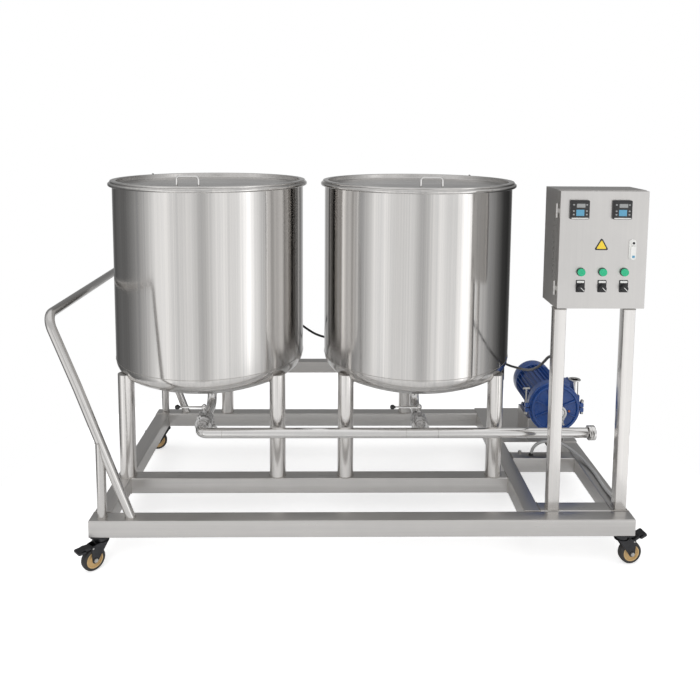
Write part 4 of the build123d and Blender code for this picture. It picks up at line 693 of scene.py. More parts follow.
def make_coverings():
    """Paint, plastics, rubber and the lamp lenses."""
    tones = bpy.context.scene.unit_colours
    blue, keys, tan = tuple(tones.machine_blue), tuple(tones.key_blue), tuple(tones.hub_tan)
    speckled("blue_paint", blue, toned(blue, 0.8, 0.03), 0.24, 260.0, 0.25, 0.4, 0.15)
    speckled("black_plastic", (0.018, 0.018, 0.02), (0.09, 0.09, 0.09), 0.42, 1500.0, 0.5, 0.0, 0.15)
    speckled("gloss_black", (0.012, 0.012, 0.013), (0.05, 0.05, 0.05), 0.2, 300.0, 0.4, 0.3, 0.03)
    speckled("white_plastic", (0.8, 0.8, 0.78), (0.55, 0.54, 0.5), 0.35, 900.0, 0.35, 0.2, 0.06)
    speckled("grey_window", (0.3, 0.31, 0.31), (0.17, 0.18, 0.18), 0.25, 500.0, 0.6, 0.4, 0.03)
    speckled("blue_keys", keys, toned(keys, 0.7), 0.35, 700.0, 0.5, 0.3, 0.05)
    speckled("yellow_plate", tuple(tones.plate_yellow), (0.75, 0.6, 0.12), 0.35, 700.0, 0.4, 0.2, 0.04)
    speckled("tread_rubber", (0.028, 0.027, 0.027), (0.12, 0.11, 0.1), 0.6, 700.0, 0.7, 0.0, 0.35)
    speckled("tan_hub", tan, toned(tan, 0.6), 0.4, 500.0, 0.7, 0.25, 0.12)
    speckled("cable_black", (0.02, 0.02, 0.021), (0.08, 0.08, 0.08), 0.38, 1200.0, 0.6, 0.0, 0.2)
    speckled("conduit_grey", (0.4, 0.4, 0.4), (0.2, 0.2, 0.2), 0.35, 800.0, 0.6, 0.2, 0.15)
    speckled("white_rubber", (0.75, 0.74, 0.7), (0.5, 0.48, 0.44), 0.5, 800.0, 0.4, 0.0, 0.1)
    speckled("orange_cap", (0.55, 0.16, 0.04), (0.3, 0.1, 0.04), 0.45, 500.0, 0.6, 0.2, 0.1)
    green = tuple(tones.lens_green)
    shader = speckled("green_lens", green, toned(green, 1.4, 0.05), 0.2, 400.0, 0.6, 0.6, 0.05)
    shader.inputs["Emission Color"].default_value = (*green, 1.0)
    shader.inputs["Emission Strength"].default_value = 0.1


def finish(name):
    """The finish by its name, made with all the others the first time."""
    if not FINISHES:
        make_metals()
        make_coverings()
    return FINISHES[name]


def coat_node(node, name):
    """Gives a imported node's material slots one of the finishes."""
    for material_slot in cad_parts[node].material_slots:
        material_slot.material = finish(name)


# Sizes and colours


def length_of(label, text, default, most=2.0):
    """A length property in metres."""
    return FloatProperty(name=label, description=text, default=default, min=0.0, max=most, unit="LENGTH")


def colour_of(label, text, default):
    """A colour property."""
    return FloatVectorProperty(
        name=label, description=text, default=default, size=3, min=0.0, max=1.0, subtype="COLOR"
    )


class UnitSizes(PropertyGroup):
    """Sizes of the visible pieces that may be changed."""

    tank_radius: length_of("Tank radius", "Outside radius of each tank's wall", 0.372)
    tank_wall: length_of("Tank wall", "Thickness of each tank's sheet", 0.003, 0.02)
    rim_bead: length_of("Rim bead", "Height of the rolled bead round each rim", 0.015, 0.05)
    lid_rod: length_of("Lid handle rod", "Diameter of each lid's handle rod", 0.008, 0.02)
    rail_corner: length_of("Rail corner", "Radius of the frame tubes' long edges", 0.0045, 0.02)
    post_corner: length_of("Post corner", "Radius of the control posts' long edges", 0.0035, 0.02)
    weld_bead: length_of("Weld bead", "Radius of the weld beads on the frame", 0.0018, 0.006)
    front_leg: length_of("Front leg", "Diameter of the legs under each tank's front", 0.060, 0.1)
    rear_leg: length_of("Rear leg", "Diameter of the leg under each tank's back", 0.054, 0.1)
    push_tube: length_of("Push handle tube", "Diameter of the push handle's tube", 0.032, 0.06)
    pipe_diameter: length_of("Pipe diameter", "Outside diameter of the product pipes", 0.038, 0.1)
    wheel_radius: length_of("Wheel radius", "Radius of each caster's tread", 0.04, 0.1)
    lead_diameter: length_of("Lead diameter", "Diameter of the probe lead", 0.010, 0.03)
    conduit_diameter: length_of("Conduit diameter", "Diameter of the flexible conduit", 0.013, 0.04)


class UnitColours(PropertyGroup):
    """Colours of the finishes that may be changed."""

    steel_light: colour_of("Light steel", "Bright tone of the stainless steel", (0.79, 0.765, 0.738))
    steel_dark: colour_of("Dark steel", "Dark tone of the stainless steel", (0.5, 0.497, 0.495))
    machine_blue: colour_of("Machine blue", "Paint of the pump and its motor", (0.01, 0.062, 0.26))
    lens_green: colour_of("Lens green", "Pilot lamps", (0.0, 0.42, 0.2))
    hub_tan: colour_of("Hub tan", "Hubs of the caster wheels", (0.66, 0.45, 0.2))
    plate_yellow: colour_of("Plate yellow", "Three-cornered plate on the door", (0.86, 0.62, 0.03))
    key_blue: colour_of("Key blue", "Keys of the temperature controllers", (0.1, 0.33, 0.5))
    backdrop: colour_of("Backdrop", "Floor and background", (1.0, 1.0, 1.0))


def size_mm(name):
    """One of the sizes, in millimetres."""
    return getattr(bpy.context.scene.unit_sizes, name) / MM


# Fittings that more than one piece uses


def square_bar(form, start, end, side, corner, mark=0):
    """A square tube with rounded long edges between two points on its centre line."""
    start, end = np.asarray(start, float), np.asarray(end, float)
    length = np.linalg.norm(end - start)
    form.add(prism(box_outline(side, side, corner, 5), 0, length), mark, start, end - start, Z)


def butt_weld(form, centre, axis, side, corner, mark):
    """A weld bead round the end of a square tube."""
    path = put(flat(box_outline(side + 0.8, side + 0.8, corner + 0.4)), centre, axis, Z)
    form.add(seam(path, size_mm("weld_bead"), axis), mark)


def ring_weld(form, centre, axis, radius, mark, bead=1.0):
    """A weld bead round a pipe or leg."""
    form.add(seam(put(flat(circle(radius, 72)), centre, axis), bead, axis), mark)


def ferrule(form, at, away, neck=19.0, bore=17.5, mark=0):
    """A clamp ferrule: flat sealing face, rounded lip, sloping back and a short neck."""
    cone = 2.9 + (FERRULE - neck) * 0.36
    corners = ((bore, 0), (FERRULE, 0), (FERRULE, -2.9), (neck, -cone))
    corners += ((neck, -FERRULE_NECK), (bore, -FERRULE_NECK))
    form.add(lathe(rounded(corners, (0.4, 0.7, 0.7, 1.2, 0, 0), 3), 64), mark, at, away)


def clamp(form, at, axis, bolt):
    """Two half rings with lugs, a hinge pin, a swing bolt, its nut and a wing nut."""
    half = ((32, 6.5), (21.2, 6.5), (21.2, 5.6), (25.6, 4.0))
    outline = mirrored(half, (1.6, 0.4, 0.2, 0.2))
    gap = 1.5 / 32
    for low in (gap, pi + gap):
        form.add(lathe(outline, 33, True, (low, low + pi - 2 * gap)), 0, at, axis, bolt)
    lug = rounded(((29, 1.5), (43, 1.5), (43, 9), (38, 10), (29, 9)), (0, 1.5, 2.5, 1, 0), 3)
    ear = rounded(((-41, 1.5), (-29, 1.5), (-29, 8), (-38, 8)), (3, 0, 0, 3), 3)
    wing = ((2, -12), (7, -13), (14.5, -20), (15, -25), (10.5, -25), (3, -18))
    wing = rounded(wing, (0, 3, 3, 1.8, 3, 0), 4)
    for side in (-1, 1):
        form.add(prism(lug * (1, side), -6.3, 6.3), 0, at, axis, bolt)
        form.add(prism(ear * (1, side), -6.3, 6.3), 0, at, axis, bolt)
        form.add(prism(wing * (side, 1) + (37, 0), -1.6, 1.6), 0, at, axis, bolt)
    x, y, z = basis(axis, bolt)
    at = np.asarray(at, float)
    form.add(rod(at - 36 * x - 7.6 * z, at - 36 * x + 7.6 * z, 2.6, 20, 0.6))
    form.add(rod(at + 37 * x - 14 * y, at + 37 * x + 21 * y, 3.0, 20, 0.8))
    form.add(hexagon(10, 10, 14.5), 0, at + 37 * x, y, x)
    boss = rounded(((0, 0), (6.8, 0), (5.2, 9.5), (3.2, 11.5), (0, 11.5)), (0, 0.8, 1.2, 0.8, 0), 3, False)
    form.add(lathe(boss, 28, False), 0, at + 37 * x - 10 * y, -y, x)


def at_wall(index, angle, radius, height):
    """A point at an angle and radius from one tank's axis."""
    a = radians(angle)
    return np.array((TANK_X[index] + radius * cos(a), TANK_Y + radius * sin(a), height))


def outward(angle, tilt=0.0):
    """The direction away from a tank's axis at an angle, tilted down in degrees."""
    a, b = radians(angle), radians(tilt)
    return np.array((cos(a) * cos(b), sin(a) * cos(b), -sin(b)))


def wall_weld(form, index, angle, height, radius, mark, bead=1.2):
    """A bead where a round stub leaves a tank's wall: radial distance = sqrt(R² - (r cos t)²)."""
    reach = size_mm("tank_radius") + 0.2
    across, rise = circle(radius, 64).T
    along = np.sqrt(reach**2 - across**2)
    centre = at_wall(index, angle, 0, height)
    path = np.column_stack((across, rise, along))
    form.add(seam(put(path, centre, outward(angle), outward(angle + 90)), bead, outward(angle)), mark)


def underside(radius):
    """Height of a tank's dished bottom: crown and knuckle arcs, or the leg's own top outside the wall."""
    tank = size_mm("tank_radius")
    knuckle_x = tank - KNUCKLE
    crown_z = WALL_FOOT + sqrt((CROWN - KNUCKLE) ** 2 - knuckle_x**2)
    meet = CROWN * knuckle_x / (CROWN - KNUCKLE)
    dish = crown_z - np.sqrt(CROWN**2 - np.minimum(radius, meet) ** 2)
    over = np.clip(radius - knuckle_x, 0, KNUCKLE)
    roll = WALL_FOOT - np.sqrt(KNUCKLE**2 - over**2)
    return np.minimum(np.where(radius < meet, dish, np.where(radius < tank, roll, LEG_TOP)), LEG_TOP)


# Frame


class BuildRails(Operator):
    """Adds the frame's square tubes with rounded edges and weld beads"""

    bl_idname = "unit.rails"
    bl_label = "Frame rails"

    def execute(self, context):
        corner = size_mm("rail_corner")
        metals = ["satin_along_x", "satin_along_y", "weld_steel", "zinc_steel"]
        for name, y in (("front_rail", RAIL / 2), ("rear_rail", DEPTH - RAIL / 2)):
            form = Form()
            square_bar(form, (-HALF_LENGTH, y, RAIL_MIDDLE), (HALF_LENGTH, y, RAIL_MIDDLE), RAIL, corner)
            form.build(name + "_tube", "frame", metals[:1], "satin_steel", [name], 0.9)
        runs = [(side, sign * (HALF_LENGTH - RAIL / 2)) for side, sign in zip(SIDES, (-1, 1))]
        for side, x in runs:
            form = Form()
            self.along_y(form, x, corner)
            form.build(side + "_side_rail_tube", "frame", metals, "satin_steel", [side + "_side_rail"], 0.9)
        form = Form()
        self.along_y(form, CROSS_X + RAIL / 2, corner)
        inner_right = CROSS_X + RAIL + WELD_GAP
        spans = (
            (-SIDE_INNER + WELD_GAP, CROSS_X - WELD_GAP, TANK_RAIL_Y + RAIL / 2),
            (inner_right, SIDE_INNER - WELD_GAP, RAIL * 1.5 + WELD_GAP),
            (inner_right, SIDE_INNER - WELD_GAP, PUMP_RAIL_Y + RAIL / 2),
        )
        for x0, x1, y in spans:
            square_bar(form, (x0, y, RAIL_MIDDLE), (x1, y, RAIL_MIDDLE), RAIL, corner, 0)
            for x in (x0, x1):
                butt_weld(form, (x, y, RAIL_MIDDLE), X, RAIL, corner, 2)
        bolt = (664, 512, 0)
        form.add(prism(circle(9, 32), RAIL_TOP, RAIL_TOP + 1.6), 3, bolt)
        form.add(hexagon(13, RAIL_TOP + 1.6, RAIL_TOP + 8), 3, bolt)
        form.build("inner_rail_tubes", "frame", metals, "satin_steel", ["inner_rails"], 0.9)
        coat_node("rear_beam", "satin_along_x")
        return {"FINISHED"}

    def along_y(self, form, x, corner):
        """One rail between the front and rear rails, welded at both ends."""
        ends = (RAIL + WELD_GAP, REAR_Y - WELD_GAP)
        square_bar(form, (x, ends[0], RAIL_MIDDLE), (x, ends[1], RAIL_MIDDLE), RAIL, corner, 1)
        for y in ends:
            butt_weld(form, (x, y, RAIL_MIDDLE), Y, RAIL, corner, 2)


class BuildPosts(Operator):
    """Adds the two control posts"""

    bl_idname = "unit.posts"
    bl_label = "Control posts"

    def execute(self, context):
        form = Form()
        corner = size_mm("post_corner")
        for x in POST_X:
            square_bar(form, (x, POST_Y, RAIL_TOP), (x, POST_Y, CABINET_LOW), POST_SIDE, corner)
            butt_weld(form, (x, POST_Y, RAIL_TOP + 0.5), Z, POST_SIDE, corner, 1)
            butt_weld(form, (x, POST_Y, CABINET_LOW - 1.5), Z, POST_SIDE - 1, corner, 1)
        metals = ["satin_along_z", "weld_steel"]
        form.build("control_post_tubes", "frame", metals, "satin_steel", ["control_posts"], 0.7)
        return {"FINISHED"}


class BuildLegs(Operator):
    """Adds the round legs, cut to the dished bottoms, with beads at both ends"""

    bl_idname = "unit.legs"
    bl_label = "Tank legs"

    def execute(self, context):
        form = Form()
        radius = size_mm("front_leg") / 2
        y = TANK_RAIL_Y + RAIL / 2
        for tank_x in TANK_X:
            for side in (-1, 1):
                self.cut_leg(form, (tank_x + side * LEG_SPREAD, y), tank_x, radius)
            rear = (tank_x, DEPTH - RAIL / 2)
            slim = size_mm("rear_leg") / 2
            form.add(rod((*rear, RAIL_TOP), (*rear, BEAM_LOW), slim, 64))
            ring_weld(form, (*rear, RAIL_TOP + 0.5), Z, slim + 0.6, 1, 2.0)
            ring_weld(form, (*rear, BEAM_LOW - 0.5), Z, slim + 0.6, 1, 1.8)
        form.build("tank_leg_tubes", "frame", ["satin_along_z", "weld_steel"], "satin_steel", ["tank_legs"])
        return {"FINISHED"}

    def cut_leg(self, form, spot, tank_x, radius):
        """Rings x = c + r f cos t with f falling to 0 at both ends; the upper ones follow the dish."""
        toward = atan2(TANK_Y - spot[1], tank_x - spot[0])
        share = np.array((0, 1, 1, 1, 0.98, 0.8, 0.6, 0.4, 0.2, 0))[:, None]
        t = toward + np.linspace(-pi, pi, 72, endpoint=False)
        x = spot[0] + radius * share * np.cos(t)
        y = spot[1] + radius * share * np.sin(t)
        top = underside(np.hypot(x - tank_x, y - TANK_Y)) - 0.2
        z = np.where(np.arange(len(share))[:, None] < 2, RAIL_TOP, top)
        z[2] = top[2] - 1.2
        form.add((np.stack((x, y, z), -1).reshape(-1, 3), [grid_faces(len(share), len(t), False, True)]))
        ring_weld(form, (*spot, RAIL_TOP + 0.5), Z, radius + 0.6, 1, 2.2)
        under = top[2] < LEG_TOP - 1
        rim = np.column_stack((x[2], y[2], top[2]))[under]
        rim[:, :2] += (rim[:, :2] - spot) * 0.02
        form.add(seam(rim, 2.0, Z, False), 1)


# Tanks and lids


class BuildTanks(Operator):
    """Adds both tanks: rolled wall, rim bead, dished bottom and weld seams"""

    bl_idname = "unit.tanks"
    bl_label = "Tanks"

    def execute(self, context):
        for side, x in zip(SIDES, TANK_X):
            form = Form()
            form.add(lathe(self.profile(), 192), 0, (x, TANK_Y, 0))
            radius = size_mm("tank_radius")
            ring_weld(form, (x, TANK_Y, WALL_FOOT), Z, radius + 0.1, 1, 1.1)
            line = np.array(((0, radius + 0.1, WALL_FOOT + 2), (0, radius + 0.1, RIM_Z - 17)))
            form.add(seam(line + (x, TANK_Y, 0), 0.9, X, False), 1)
            nodes = [side + "_tank", side + "_tank_head"]
            form.build(side + "_tank_shell", "frame", ["tank_wall_steel", "weld_steel"], "tank_steel", nodes)
        return {"FINISHED"}

    def arcs(self, radius, crown, knuckle, hole):
        """Crown and knuckle arcs (r sin a, c - r cos a) from the outlet to the wall's foot."""
        knuckle_x = radius - knuckle
        crown_z = WALL_FOOT + sqrt((crown - knuckle) ** 2 - knuckle_x**2)
        meet = atan2(knuckle_x, crown_z - WALL_FOOT)
        a = np.linspace(asin(hole / crown), meet, 26)
        b = np.linspace(meet, pi / 2, 16)[1:]
        dish = np.column_stack((crown * np.sin(a), crown_z - crown * np.cos(a)))
        roll = np.column_stack((knuckle_x + knuckle * np.sin(b), WALL_FOOT - knuckle * np.cos(b)))
        return np.concatenate((dish, roll))

    def profile(self):
        """Half section: outer bottom and wall, rim bead, inner wall and bottom."""
        radius, wall, bead = size_mm("tank_radius"), size_mm("tank_wall"), size_mm("rim_bead")
        outer = self.arcs(radius, CROWN, KNUCKLE, 19.2)
        inner = self.arcs(radius - wall, CROWN - wall, KNUCKLE - wall, 19.2)
        low = RIM_Z - bead
        edge = radius + BEAD_REACH
        inside = radius - wall
        corners = ((radius, low - 60), (radius, low), (edge, low), (edge, RIM_Z))
        corners += ((inside, RIM_Z), (inside, low - 60))
        rim = rounded(corners, (0, 2.0, bead * 0.45, bead * 0.45, bead * 0.4, 0), 6, False)
        return np.concatenate((outer, rim, inner[::-1]))


class BuildLids(Operator):
    """Adds both pan lids with their bent rod handles"""

    bl_idname = "unit.lids"
    bl_label = "Lids"

    def execute(self, context):
        outer = size_mm("tank_radius") + LID_OVERHANG
        pan = outer - LID_FLANGE
        rod_radius = size_mm("lid_rod") / 2
        for side, x, shift in zip(SIDES, TANK_X, HANDLE_SHIFT):
            form = Form()
            form.add(lathe(self.profile(outer, pan), 192, False), 0, (x, TANK_Y, 0))
            foot, top = LID_PLATE - 1, LID_PLATE + HANDLE_RISE
            left, right = x + shift - HANDLE_HALF, x + shift + HANDLE_HALF
            stops = ((left, foot), (left, top), (right, top), (right, foot))
            corners = [(end, HANDLE_Y, z) for end, z in stops]
            form.add(tube(rounded(corners, 11, 8, False), rod_radius, 24), 1)
            for end in (left, right):
                ring_weld(form, (end, HANDLE_Y, LID_PLATE + 0.5), Z, rod_radius + 0.6, 2, 1.2)
            materials = ["lid_steel", "pipe_steel", "weld_steel"]
            form.build(side + "_lid_pan", side + "_lid", materials, "tank_steel", [side + "_lid"])
        return {"FINISHED"}

    def profile(self, outer, pan):
        """Half section of the pressed pan: its plate rises by 2.2 (1 - (r / R)²) towards the middle."""
        r = np.linspace(0, pan - 8, 24)
        plate = np.column_stack((r, LID_PLATE + 2.2 * (1 - (r / pan) ** 2)))
        low, sheet = LID_TOP - 7, LID_SHEET
        corners = (
            plate[-1], (pan, LID_PLATE), (pan, LID_TOP), (outer, LID_TOP), (outer, low), (outer - sheet, low),
            (outer - sheet, LID_TOP - sheet), (pan + sheet, LID_TOP - sheet),
            (pan + sheet, LID_PLATE - sheet), plate[-1] - (0, sheet),
        )
        rim = rounded(corners, (0, 4, 2.5, 3, 0.4, 0.4, 1, 1, 5, 0), 5, False)
        return np.concatenate((plate[:-1], rim, plate[:-1][::-1] - (0, sheet)))


# Pipework


class BuildPorts(Operator):
    """Adds outlet bends, return stubs and probe bosses, and coats the caps and gaskets"""

    bl_idname = "unit.ports"
    bl_label = "Tank ports"

    def execute(self, context):
        form = Form()
        radius = size_mm("pipe_diameter") / 2
        foot = float(underside(np.array(radius)))
        for index, x in enumerate(TANK_X):
            corners = ((x, TANK_Y, foot + 3), (x, TANK_Y, PIPE_Z), (x, FACE_FAR + FERRULE_NECK, PIPE_Z))
            form.add(pipe(rounded(corners, (0, BEND, 0), 16, False), radius, radius - PIPE_WALL))
            ring_weld(form, (x, TANK_Y, foot - 0.3), Z, radius + 0.6, 1, 1.3)
            ring_weld(form, (x, FACE_FAR + FERRULE_NECK, PIPE_Z), Y, radius, 1, 0.8)
            ferrule(form, (x, FACE_FAR, PIPE_Z), FORWARD)
            angle = RETURN_ANGLES[index]
            start = at_wall(index, angle, 365, RETURN_Z)
            end = at_wall(index, angle, RETURN_FACE - FERRULE_NECK, RETURN_Z)
            form.add(pipe(np.linspace(start, end, 3), radius, radius - PIPE_WALL))
            ferrule(form, at_wall(index, angle, RETURN_FACE, RETURN_Z), outward(angle))
            wall_weld(form, index, angle, RETURN_Z, radius + 0.5, 1)
        angle, distance, height = LEFT_PROBE
        start = at_wall(0, angle, distance, height)
        form.add(rod(start, start + 20 * outward(angle), 11, 40, 1.0))
        wall_weld(form, 0, angle, height, 11.4, 1)
        angle, distance, height = RIGHT_PROBE
        start, away = at_wall(1, angle, distance, height), outward(angle, PROBE_TILT)
        form.add(rod(start, start + 42 * away, 11, 40, 1.0))
        ring_weld(form, start + 3.4 * away, away, 11.3, 1, 1.3)
        form.build("tank_port_pipes", "frame", ["pipe_steel", "weld_steel"], "polished_steel", ["tank_ports"])
        coat_node("blank_caps", "pipe_steel")
        coat_node("gaskets", "white_rubber")
        return {"FINISHED"}


class BuildClamps(Operator):
    """Adds the ring clamps with their wing nuts"""

    bl_idname = "unit.clamps"
    bl_label = "Ring clamps"

    def execute(self, context):
        form = Form()
        for x in TANK_X:
            for y in (FACE_NEAR + GASKET_HALF, FACE_FAR - GASKET_HALF):
                clamp(form, (x, y, PIPE_Z), Y, (0.5, 0, -1))
        for index, angle in enumerate(RETURN_ANGLES):
            clamp(form, at_wall(index, angle, RETURN_FACE + GASKET_HALF, RETURN_Z), outward(angle), Z)
        clamp(form, (PUMP_X, PUMP_FACE - GASKET_HALF, PUMP_Z), Y, (0, 0, -1))
        form.build("ring_clamps", "frame", ["cast_steel"], "polished_steel", ["clamps"])
        return {"FINISHED"}


class BuildValves(Operator):
    """Adds both butterfly valves with their levers"""

    bl_idname = "unit.valves"
    bl_label = "Valves"

    def execute(self, context):
        form = Form()
        half = (
            (17.5, -25), (25.25, -25), (25.25, -22.1), (20, -19.9),
            (20, -11), (33, -11), (33, -0.8), (31.6, -0.5),
        )
        outline = mirrored(half, (0.3, 0.7, 0.7, 1.2, 2.0, 1.6, 0.4, 0.2))
        for x in TANK_X:
            form.add(lathe(outline, 80), 0, (x, VALVE_Y, PIPE_Z), Y)
            for k in range(4):
                across, rise = circle(27.0, 4)[k] @ np.array(((0.707, 0.707), (-0.707, 0.707)))
                centre = (x + across, VALVE_Y, PIPE_Z + rise)
                form.add(hexagon(9, 10.5, 15), 0, centre, FORWARD)
                form.add(hexagon(9, 10.5, 16), 0, centre, Y)
            collar = rounded(((0, 0), (9, 0), (9, 24), (7.5, 27), (0, 27)), (0, 0, 1, 0.8, 0), 3, False)
            form.add(lathe(collar, 40, False), 0, (x, VALVE_Y, 391))
            form.add(rod((x, VALVE_Y, 333.5), (x, VALVE_Y, 341), 8, 40, 1.0))
        form.build("valve_body_halves", "frame", ["cast_steel"], "polished_steel", ["valve_bodies"])
        for side, x in zip(SIDES, TANK_X):
            self.lever(side, x)
        return {"FINISHED"}

    def lever(self, side, x):
        """The disc, stem, hub, tapered arm and knob of one valve, shut."""
        form = Form()
        form.add(rod((x, VALVE_Y - 2, PIPE_Z), (x, VALVE_Y + 2, PIPE_Z), 17.2, 56, 0.8))
        form.add(rod((x, VALVE_Y, 341), (x, VALVE_Y, 433), 5, 32))
        hub = rounded(((0, 424), (10, 424), (10, 436), (0, 436)), (0, 1.2, 2.0, 0), 4, False)
        form.add(lathe(hub, 40, False), 0, (x, VALVE_Y, 0))
        form.add(hexagon(10, 435.5, 441), 0, (x, VALVE_Y, 0))
        arm = ((4, -6.5), (4, 6.5), (-60, 5), (-98, 3.2), (-98, -3.2), (-60, -5))
        arm = rounded(arm, (2, 2, 30, 1, 1, 30), 4)
        form.add(pillow(arm, 427, 432, 1.2), 0, (x, VALVE_Y, 0))
        form.add(rod((x - 92, VALVE_Y, 429.5), (x - 98, VALVE_Y, 429.5), 5.2, 28, 0.6), 1)
        form.add(ball((x - 103.7, VALVE_Y, 429.5), 9.5), 1)
        materials, node = ["pipe_steel", "gloss_black"], [side + "_valve_lever"]
        form.build(side + "_valve_arm", side + "_valve", materials, "polished_steel", node)


class BuildManifold(Operator):
    """Adds the long pipe with its bend, branch, ferrules and end cap"""

    bl_idname = "unit.manifold"
    bl_label = "Long pipe"

    def execute(self, context):
        form = Form()
        radius = size_mm("pipe_diameter") / 2
        left, right = TANK_X
        neck, end = FACE_NEAR - FERRULE_NECK, MANIFOLD_END - FERRULE_NECK
        corners = ((left, neck, PIPE_Z), (left, PIPE_Y, PIPE_Z), (end, PIPE_Y, PIPE_Z))
        form.add(pipe(rounded(corners, (0, BEND, 0), 16, False), radius, radius - PIPE_WALL))
        branch = np.linspace((right, PIPE_Y + 4, PIPE_Z), (right, neck, PIPE_Z), 4)
        form.add(pipe(branch, radius, radius - PIPE_WALL))
        across, rise = circle(radius + 0.3, 96).T
        saddle = np.column_stack((across, np.abs(across) + 0.2, rise)) + (right, PIPE_Y, PIPE_Z)
        form.add(seam(saddle, 1.3, Y), 1)
        for x in (left, right):
            ferrule(form, (x, FACE_NEAR, PIPE_Z), Y)
            ring_weld(form, (x, neck, PIPE_Z), Y, radius, 1, 0.8)
        ferrule(form, (MANIFOLD_END, PIPE_Y, PIPE_Z), X)
        for x in (left + BEND + radius * 2, right - 60, right + 60, end):
            ring_weld(form, (x, PIPE_Y, PIPE_Z), X, radius, 1, 0.8)
        form.build("manifold_pipe", "frame", ["pipe_steel", "weld_steel"], "polished_steel", ["manifold"])
        form = Form()
        corners = (
            (0, 10.5), (25.6, 10.5), (25.6, 0), (27.5, 0), (27.5, 8.6), (26.6, 9.2), (26.6, 10.4), (27.5, 11),
            (27.5, 26.5), (0, 26.5),
        )
        cap = rounded(corners, (0, 0, 0.4, 0.8, 0.5, 0.4, 0.4, 0.5, 4, 0), 4, False)
        form.add(lathe(cap, 72, False), 0, (851.5, PIPE_Y, PIPE_Z), X)
        form.build("manifold_end_cap", "frame", ["pipe_steel"], "polished_steel", ["manifold_cap"])
        return {"FINISHED"}


class BuildPushHandle(Operator):
    """Adds the bent push handle with its two short posts"""

    bl_idname = "unit.push_handle"
    bl_label = "Push handle"

    def execute(self, context):
        form = Form()
        radius = size_mm("push_tube") / 2
        foot, knee, top = (-797, RAIL_TOP - 6), (-966, 632), (-1062, 878)
        near, far = RAIL / 2, DEPTH - RAIL / 2
        corners = [(x, near, z) for x, z in (foot, knee, top)] + [(x, far, z) for x, z in (top, knee, foot)]
        path = rounded(corners, (0, 260, 50, 50, 260, 0), 14, False)
        form.add(tube(path, radius, 48))
        lean = atan2(foot[0] - knee[0], knee[1] - RAIL_TOP)
        stub_x = -896.0
        joint_z = RAIL_TOP + (foot[0] - stub_x) / np.tan(lean)
        for y in (near, far):
            form.add(rod((stub_x, y, RAIL_TOP), (stub_x, y, joint_z), radius, 48))
            ring_weld(form, (stub_x, y, RAIL_TOP + 0.5), Z, radius + 0.5, 1, 2.0)
            oval = circle(radius + 0.5, 64) * (1 / cos(lean), 1) + (foot[0] - 3, y)
            form.add(seam(flat(oval, RAIL_TOP + 0.5), 2.0), 1)
            form.add(seam(self.saddle(radius, lean) + (stub_x, y, joint_z), 1.8, X), 1)
        metals = ["handle_steel", "weld_steel"]
        form.build("push_handle_tube", "frame", metals, "satin_steel", ["push_handle"])
        return {"FINISHED"}

    def saddle(self, radius, lean):
        """Where both tubes meet: z = -r s cos t / (1 - c) in front, r s cos t / (1 + c) behind."""
        c, s = cos(lean), sin(lean)
        across, along = circle(radius + 0.4, 96).T
        rise = np.where(across > 0, -across * s / (1 - c), across * s / (1 + c))
        return np.column_stack((across, along, rise))


# Pump and motor


